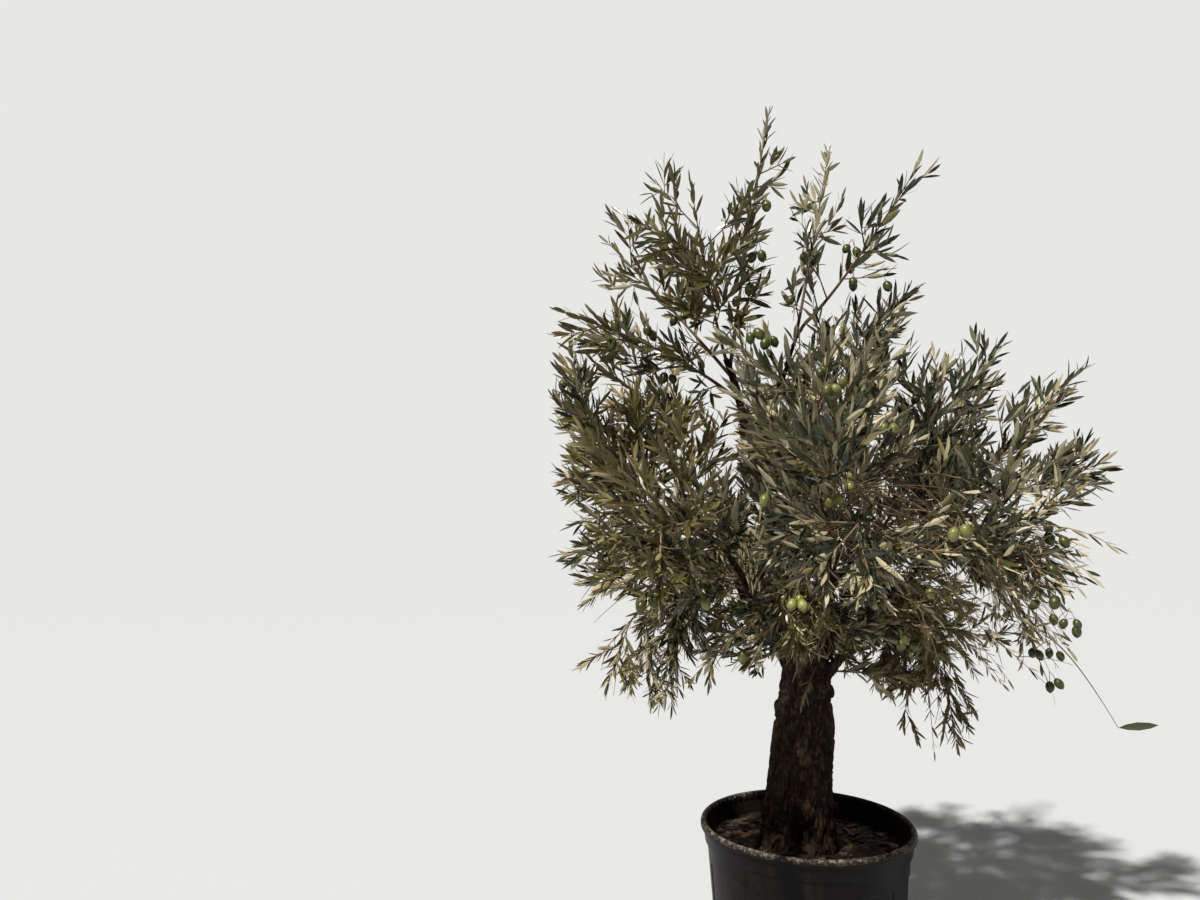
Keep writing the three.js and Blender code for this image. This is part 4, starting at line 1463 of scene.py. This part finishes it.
def leaf_faces():
    """The triangles of a leaf's face and back. Its corners: foot, tip, four at each station."""
    top, back = [], []
    last = len(LEAF_STATIONS) - 1
    for j in range(last + 1):
        left, right, rib, under = (2 + 4 * j + k for k in range(4))
        if j == 0:
            top += [(0, rib, left), (0, right, rib)]
            back += [(0, left, under), (0, under, right)]
        else:
            old_left, old_right, old_rib, old_under = (v - 4 for v in (left, right, rib, under))
            top += [(old_left, old_rib, rib), (old_left, rib, left)]
            top += [(old_rib, old_right, right), (old_rib, right, rib)]
            back += [(old_left, under, old_under), (old_left, left, under)]
            back += [(old_under, right, old_right), (old_under, under, right)]
        if j == last:
            top += [(left, rib, 1), (rib, right, 1)]
            back += [(left, 1, under), (under, 1, right)]
    return np.array(top), np.array(back)


def leaf_block(rows, random):
    """The corners of every leaf: a narrow blade, folded along its rib and curling down a little."""
    base, ahead, upper, length = rows[:, 0:3], rows[:, 3:6], rows[:, 6:9], rows[:, 9]
    across = np.cross(ahead, upper)
    count = len(rows)
    width = length * LEAF_WIDTH * random.uniform(*LEAF_WIDTHS, count)
    curl = random.normal(*LEAF_CURL, count)
    fold = random.uniform(*LEAF_FOLD, count)
    block = np.zeros((count, LEAF_CORNERS, 3))
    block[:, 0] = base
    block[:, 1] = base + ahead * length[:, None] - upper * (curl * length)[:, None]
    for j, (share, wide) in enumerate(LEAF_STATIONS):
        down = upper * (curl * length * share**2)[:, None]
        rib = base + ahead * (length * share)[:, None] - down
        half = (width * wide / 2)[:, None]
        lift = half * fold[:, None]
        block[:, 2 + 4 * j] = rib + across * half + upper * lift
        block[:, 3 + 4 * j] = rib - across * half + upper * lift
        block[:, 4 + 4 * j] = rib + upper * LEAF_HALF_THICKNESS
        block[:, 5 + 4 * j] = rib - upper * LEAF_HALF_THICKNESS
    return block


def kept_leaves(crown, random):
    """The leaves that stay in their mass's space and hide no trunk, shown olive or arch."""
    rows = np.concatenate(crown.leaves)
    base, run = rows[:, 0:3], rows[:, 3:6]
    rows[:, 9] *= np.where(in_box(base + run * rows[:, 9:10], 1), 1, SHORTENED)
    middle = base + run * rows[:, 9:10] * LEAF_VIEW
    tip = base + run * rows[:, 9:10]
    own = rows[:, 11].astype(int)
    edge = np.where(RATES[own] < FULL_RATE, SPACE_EDGE, WIDE_EDGE)
    kept = is_free(middle, own, edge) & is_free(tip, own, edge) & in_box(tip, 1)
    on_plane = (middle - EYE) * (EYE[1] / (EYE[1] - middle[:, 1:2])) + EYE
    trunk_x, half_width, behind = TRUNK_VIEW
    is_aside = np.abs(on_plane[:, 0] - trunk_x) > half_width
    kept &= is_aside | (on_plane[:, 2] > TRUNK_SHOWN) | (middle[:, 1] > behind)
    for centre in crown.shown_fruit:
        _, along, aside = from_eye(middle, centre)
        kept &= (aside > FRUIT_VIEW[0]) | (along > np.linalg.norm(centre - EYE) + FRUIT_VIEW[1])
    is_thinned = random.random(len(rows)) < ARCH_THINNING
    for centre in np.concatenate(crown.arches):
        _, along, aside = from_eye(middle, centre)
        kept &= (aside > ARCH_VIEW) | (along > np.linalg.norm(centre - EYE)) | ~is_thinned
    return np.concatenate([rows[kept], crown.set_leaves])


def leaf_finishes(rows, random):
    """Which material each leaf's face and back take: its spray's, or a stray or dry one."""
    count, faces = len(rows), len(LEAF_TOPS)
    is_stray = random.random(count) < STRAY_TINTS
    tints = np.where(is_stray, random.integers(0, faces, count), rows[:, 10].astype(int))
    is_warm = np.isin(tints, WARM_TINTS) & (random.random(count) < WARM_BACKS)
    cool_backs = (tints + random.integers(0, 2, count)) % WARM_BACK
    backs = faces + np.where(is_warm, WARM_BACK, cool_backs)
    # Painted shade: high in the crown, many backs take a darker material.
    is_shaded_back = (rows[:, 2] > SHADED_BACKS_LEVEL) & (random.random(count) < SHADED_BACKS)
    backs = np.where(is_shaded_back, faces + SHADED_BACK, backs)
    is_dry = random.random(count) < DRY_SHARE
    dry = len(LEAF_FINISHES) - 1
    return np.where(is_dry, dry, tints), np.where(is_dry, dry, backs)


def mass_groups(counts, limit):
    """Neighbouring masses in groups whose leaves come to no more than a limit."""
    groups, size = [[]], 0
    for number, count in enumerate(counts):
        if size + count > limit and groups[-1]:
            groups.append([])
            size = 0
        groups[-1].append(number)
        size += count
    return groups


def make_leaves(crown, random):
    """All leaves, joined into a few pieces, each of which stands for the masses it dresses."""
    rows = kept_leaves(crown, random)
    own = rows[:, 11].astype(int)
    block = leaf_block(rows, random)
    tints, backs = leaf_finishes(rows, random)
    top, back = leaf_faces()
    faces = np.concatenate([top, back])
    order = np.argsort(own, kind="stable")
    counts = np.bincount(own, minlength=len(MASSES))
    for number, group in enumerate(mass_groups(counts, PIECE_LIMIT // len(faces)), 1):
        mine = order[np.isin(own[order], group)]
        first = np.arange(len(mine))[:, None, None] * LEAF_CORNERS
        points, triangles = block[mine].reshape(-1, 3), (first + faces).reshape(-1, 3)
        sides = ((tints, len(top)), (backs, len(back)))
        slots = [np.repeat(finish[mine][:, None], count, 1) for finish, count in sides]
        slots = np.concatenate(slots, 1).ravel()
        piece = joined_mesh(f"leaves_{number}", points, triangles, slots, LEAF_FINISHES)
        dressed(piece, "foliage", *(MASS_NAMES[i] for i in group))


def olive_blank():
    """One olive, a ball drawn out and pinched at its tip, as points and triangles."""
    nothing_selected()
    bpy.ops.mesh.primitive_ico_sphere_add(subdivisions=2, radius=1)
    blank = bpy.context.object
    bpy.ops.object.mode_set(mode="EDIT")
    size = (OLIVE_RADIUS, OLIVE_RADIUS, OLIVE_LENGTH)
    bpy.ops.transform.resize(value=size, center_override=(0, 0, 0))
    bpy.ops.mesh.select_all(action="DESELECT")
    bpy.ops.mesh.select_mode(type="VERT")
    shell = bmesh.from_edit_mesh(blank.data)
    for vertex in shell.verts:
        vertex.select = vertex.co.z < -0.95 * OLIVE_LENGTH
    bmesh.update_edit_mesh(blank.data)
    bpy.ops.transform.translate(value=(0, 0, -OLIVE_PINCH))
    bpy.ops.object.mode_set(mode="OBJECT")
    points = mesh_points(blank)
    triangles = np.array([list(face.vertices) for face in blank.data.polygons])
    bpy.data.objects.remove(blank)
    return points, triangles


def fruit_spots(crown, random):
    """Places along the shoots, and clusters on them: those in the photograph, then others."""
    shares = np.linspace(*FRUIT_SPAN, SHOOT_SPOTS)
    spots = np.array([line.at(shares) for line, _ in crown.shoots]).reshape(-1, 3)
    eye = np.array(EYE, float)
    clusters = []
    for x, z, count in FRUIT:
        sight, along, aside = from_eye(spots, np.array([x, 0, z]))
        off = aside * -EYE[1] / along
        near_first = FRONT_FIRST if x < ARM_SIDE else BACK_FIRST
        best = int(np.argmin(off + (spots[:, 1] + FRONT_EDGE) * near_first))
        place = eye + sight * along[best] + (0, 0, STALK + OLIVE_LENGTH)
        gap = np.linalg.norm(place - spots[best])
        if gap > STALK_REACH:
            line = Line(spots[best], (spots[best] + place) / 2 + (0, 0, 0.15 * gap), place)
            crown.twig(line, *LONG_STALK, YOUNG_TWIG)
            spots = np.concatenate([spots, line.at(np.linspace(0.8, 1, SHOOT_SPOTS))])
            best = len(spots) - 1
        clusters.append((best, count))
    for spot in random.choice(len(spots), MORE_FRUIT, replace=False):
        clusters.append((int(spot), int(random.integers(1, 4))))
    return spots, clusters


def hang_olives(crown):
    """Olives on short stalks, alone and in twos and threes, clear of one another."""
    random = np.random.default_rng(303)
    spots, clusters = fruit_spots(crown, random)
    hung = []
    for spot, count in clusters:
        for _ in range(count):
            for _ in range(FRUIT_TRIES):
                near = (spot // SHOOT_SPOTS) * SHOOT_SPOTS + random.integers(0, SHOOT_SPOTS)
                root = spots[spot] + (spots[near] - spots[spot]) * random.uniform(0, 0.35)
                aside = random.uniform(-STALK_ASIDE, STALK_ASIDE, 2)
                drop = np.array([*aside, -STALK - random.uniform(0, STALK_MORE)])
                centre = root + drop + (0, 0, -OLIVE_LENGTH)
                gaps = [np.linalg.norm(centre - other) for _, other in hung]
                if all(gap > OLIVE_GAP for gap in gaps) and in_box(centre[None], 20).all():
                    hung.append((root, centre))
                    break
    shown = sum(count for _, _, count in FRUIT)
    crown.shown_fruit = np.array([centre for _, centre in hung[:shown]])
    points, triangles = olive_blank()
    blocks, faces = [], []
    for number, (root, centre) in enumerate(hung):
        size = random.uniform(*OLIVE_SIZES)
        lean = unit(centre - root)
        across = turned(lean, random.uniform(0, TAU))
        axes = np.array([across, np.cross(-lean, across), -lean])
        blocks.append(centre + (points * size) @ axes)
        faces.append(triangles + number * len(points))
        top = centre - lean * OLIVE_LENGTH * size * 0.9
        crown.twig(Line(root, (root + top) / 2 + (0, 0, 2), top), *SHORT_STALK, YOUNG_TWIG)
    faces = np.concatenate(faces)
    slots = np.zeros(len(faces), int)
    olives = joined_mesh("olives", np.concatenate(blocks), faces, slots, [olive_material()], True)
    dressed(olives, "foliage")


def chip(random, size):
    """A scrap of bark: a wedge of eight corners, uneven all over."""
    corners = np.array([[x, y, z] for x in (-1, 1) for y in (-1, 1) for z in (-1, 1)], float)
    corners *= size * np.array([1.0, random.uniform(0.35, 0.7), random.uniform(0.12, 0.28)])
    corners += random.normal(0, 0.16 * size, (8, 3)) * (1, 1, 0.3)
    triangles = [(0, 1, 3), (0, 3, 2), (4, 6, 7), (4, 7, 5), (0, 4, 5), (0, 5, 1)]
    triangles += [(2, 3, 7), (2, 7, 6), (0, 2, 6), (0, 6, 4), (1, 5, 7), (1, 7, 3)]
    return corners, np.array(triangles)


def make_chips(soil):
    """Bark chips of three shades, lying at a slant on top of the filling."""
    random = np.random.default_rng(909)
    heights = mesh_points(soil) / MM
    tops = heights[heights[:, 2] > SOIL_LEVEL - 40]
    blocks, faces, slots = [], [], []
    for number in range(CHIPS):
        radius = CHIP_SPREAD * math.sqrt(random.uniform(0.1, 1))
        angle = random.uniform(0, TAU)
        place = np.array([radius * math.cos(angle), radius * math.sin(angle), 0])
        if np.linalg.norm(place - (TRUNK_FOOT[0], 0, 0)) < TRUNK_RADIUS + CHIP_CLEAR:
            continue
        ground = tops[np.linalg.norm(tops[:, :2] - place[:2], axis=1).argmin(), 2]
        size = random.uniform(*(SMALL_CHIPS if number % 3 else LARGE_CHIPS))
        corners, triangles = chip(random, size)
        spin, tilt = random.uniform(0, TAU), random.normal(0, CHIP_TILT)
        c, s = math.cos(spin), math.sin(spin)
        turn = np.array([[c, -s, 0], [s, c, 0], [0, 0, 1]])
        c, s = math.cos(tilt), math.sin(tilt)
        lean = np.array([[1, 0, 0], [0, c, -s], [0, s, c]])
        place *= min(1, (CHIP_REACH - size * 1.3) / radius)
        faces.append(triangles + len(corners) * len(blocks))
        blocks.append(corners @ lean.T @ turn.T + place + (0, 0, ground + size * 0.1))
        slots.append(np.full(len(triangles), random.integers(0, 3)))
    shades = plain_set(
        "bark_chip",
        ("dark", (40, 30, 23), 0.9),
        ("red", (62, 43, 31), 0.9),
        ("pale", (90, 73, 54), 0.9),
    )
    rows = (np.concatenate(parts) for parts in (blocks, faces, slots))
    dressed(joined_mesh("bark_chips", *rows, shades), "soil")


def make_foliage():
    crown = Crown()
    for own in range(len(MASSES)):
        grow_mass(crown, own)
    grow_sprouts(crown)
    grow_whips(crown)
    random = np.random.default_rng(990)
    grow_arches(crown, random)
    grow_set_shoots(crown, random)
    hang_olives(crown)
    make_leaves(crown, np.random.default_rng(77))
    make_twigs(crown)


# Camera, floor and light


def make_camera():
    data = bpy.data.cameras.new("camera")
    data.lens = CAMERA_LENS
    data.sensor_width = CAMERA_SENSOR
    camera = bpy.data.objects.new("camera", data)
    camera.location = [value * MM for value in EYE]
    camera.rotation_euler = (math.radians(CAMERA_PITCH), 0, 0)
    bpy.context.scene.collection.objects.link(camera)
    bpy.context.scene.camera = camera


def make_floor():
    nothing_selected()
    bpy.ops.mesh.primitive_plane_add(size=60, location=(0, 0, 0))
    floor = bpy.context.object
    floor.name = "floor"
    floor.data.materials.append(plain("floor_pale", (0.484, 0.509, 0.550), 0.95))


def add_lamp(name, towards, softness, power, colour):
    """A far lamp that lights the whole floor evenly. Softness is its width in degrees."""
    data = bpy.data.lights.new(name, "SUN")
    data.angle = math.radians(softness)
    data.energy = power
    data.color = colour
    lamp = bpy.data.objects.new(name, data)
    lamp.location = Vector(towards) * 6
    lamp.rotation_euler = Vector(towards).to_track_quat("Z", "Y").to_euler()
    bpy.context.scene.collection.objects.link(lamp)


def make_light():
    """A pale surround that lights less than it shows, a high key lamp and a soft lamp behind."""
    world = bpy.data.worlds.new("studio")
    world.use_nodes = True
    nodes = Nodes(world.node_tree)
    seen = nodes.add("ShaderNodeLightPath").outputs["Is Camera Ray"]
    lit = world.node_tree.nodes["Background"]
    lit.inputs["Color"].default_value = (1.0, 0.93, 0.78, 1)
    lit.inputs["Strength"].default_value = 0.076
    shown = nodes.add("ShaderNodeBackground", {"Color": (0.80, 0.80, 0.79), "Strength": 1.0})
    values = {0: seen, 1: lit.outputs[0], 2: shown.outputs[0]}
    mixed = nodes.add("ShaderNodeMixShader", values).outputs[0]
    nodes.feed(world.node_tree.nodes["World Output"].inputs["Surface"], mixed)
    bpy.context.scene.world = world
    add_lamp("key_lamp", (-0.5, -0.5, 1.0), 2, 5.7, (1.0, 0.95, 0.87))
    add_lamp("back_lamp", (0.5, 0.75, 0.9), 16, 0.5, (1.0, 0.97, 0.93))
    bpy.context.scene.view_settings.view_transform = "Standard"


make_camera()
make_light()
make_floor()
make_limbs()
make_pot()
make_chips(make_soil())
make_foliage()
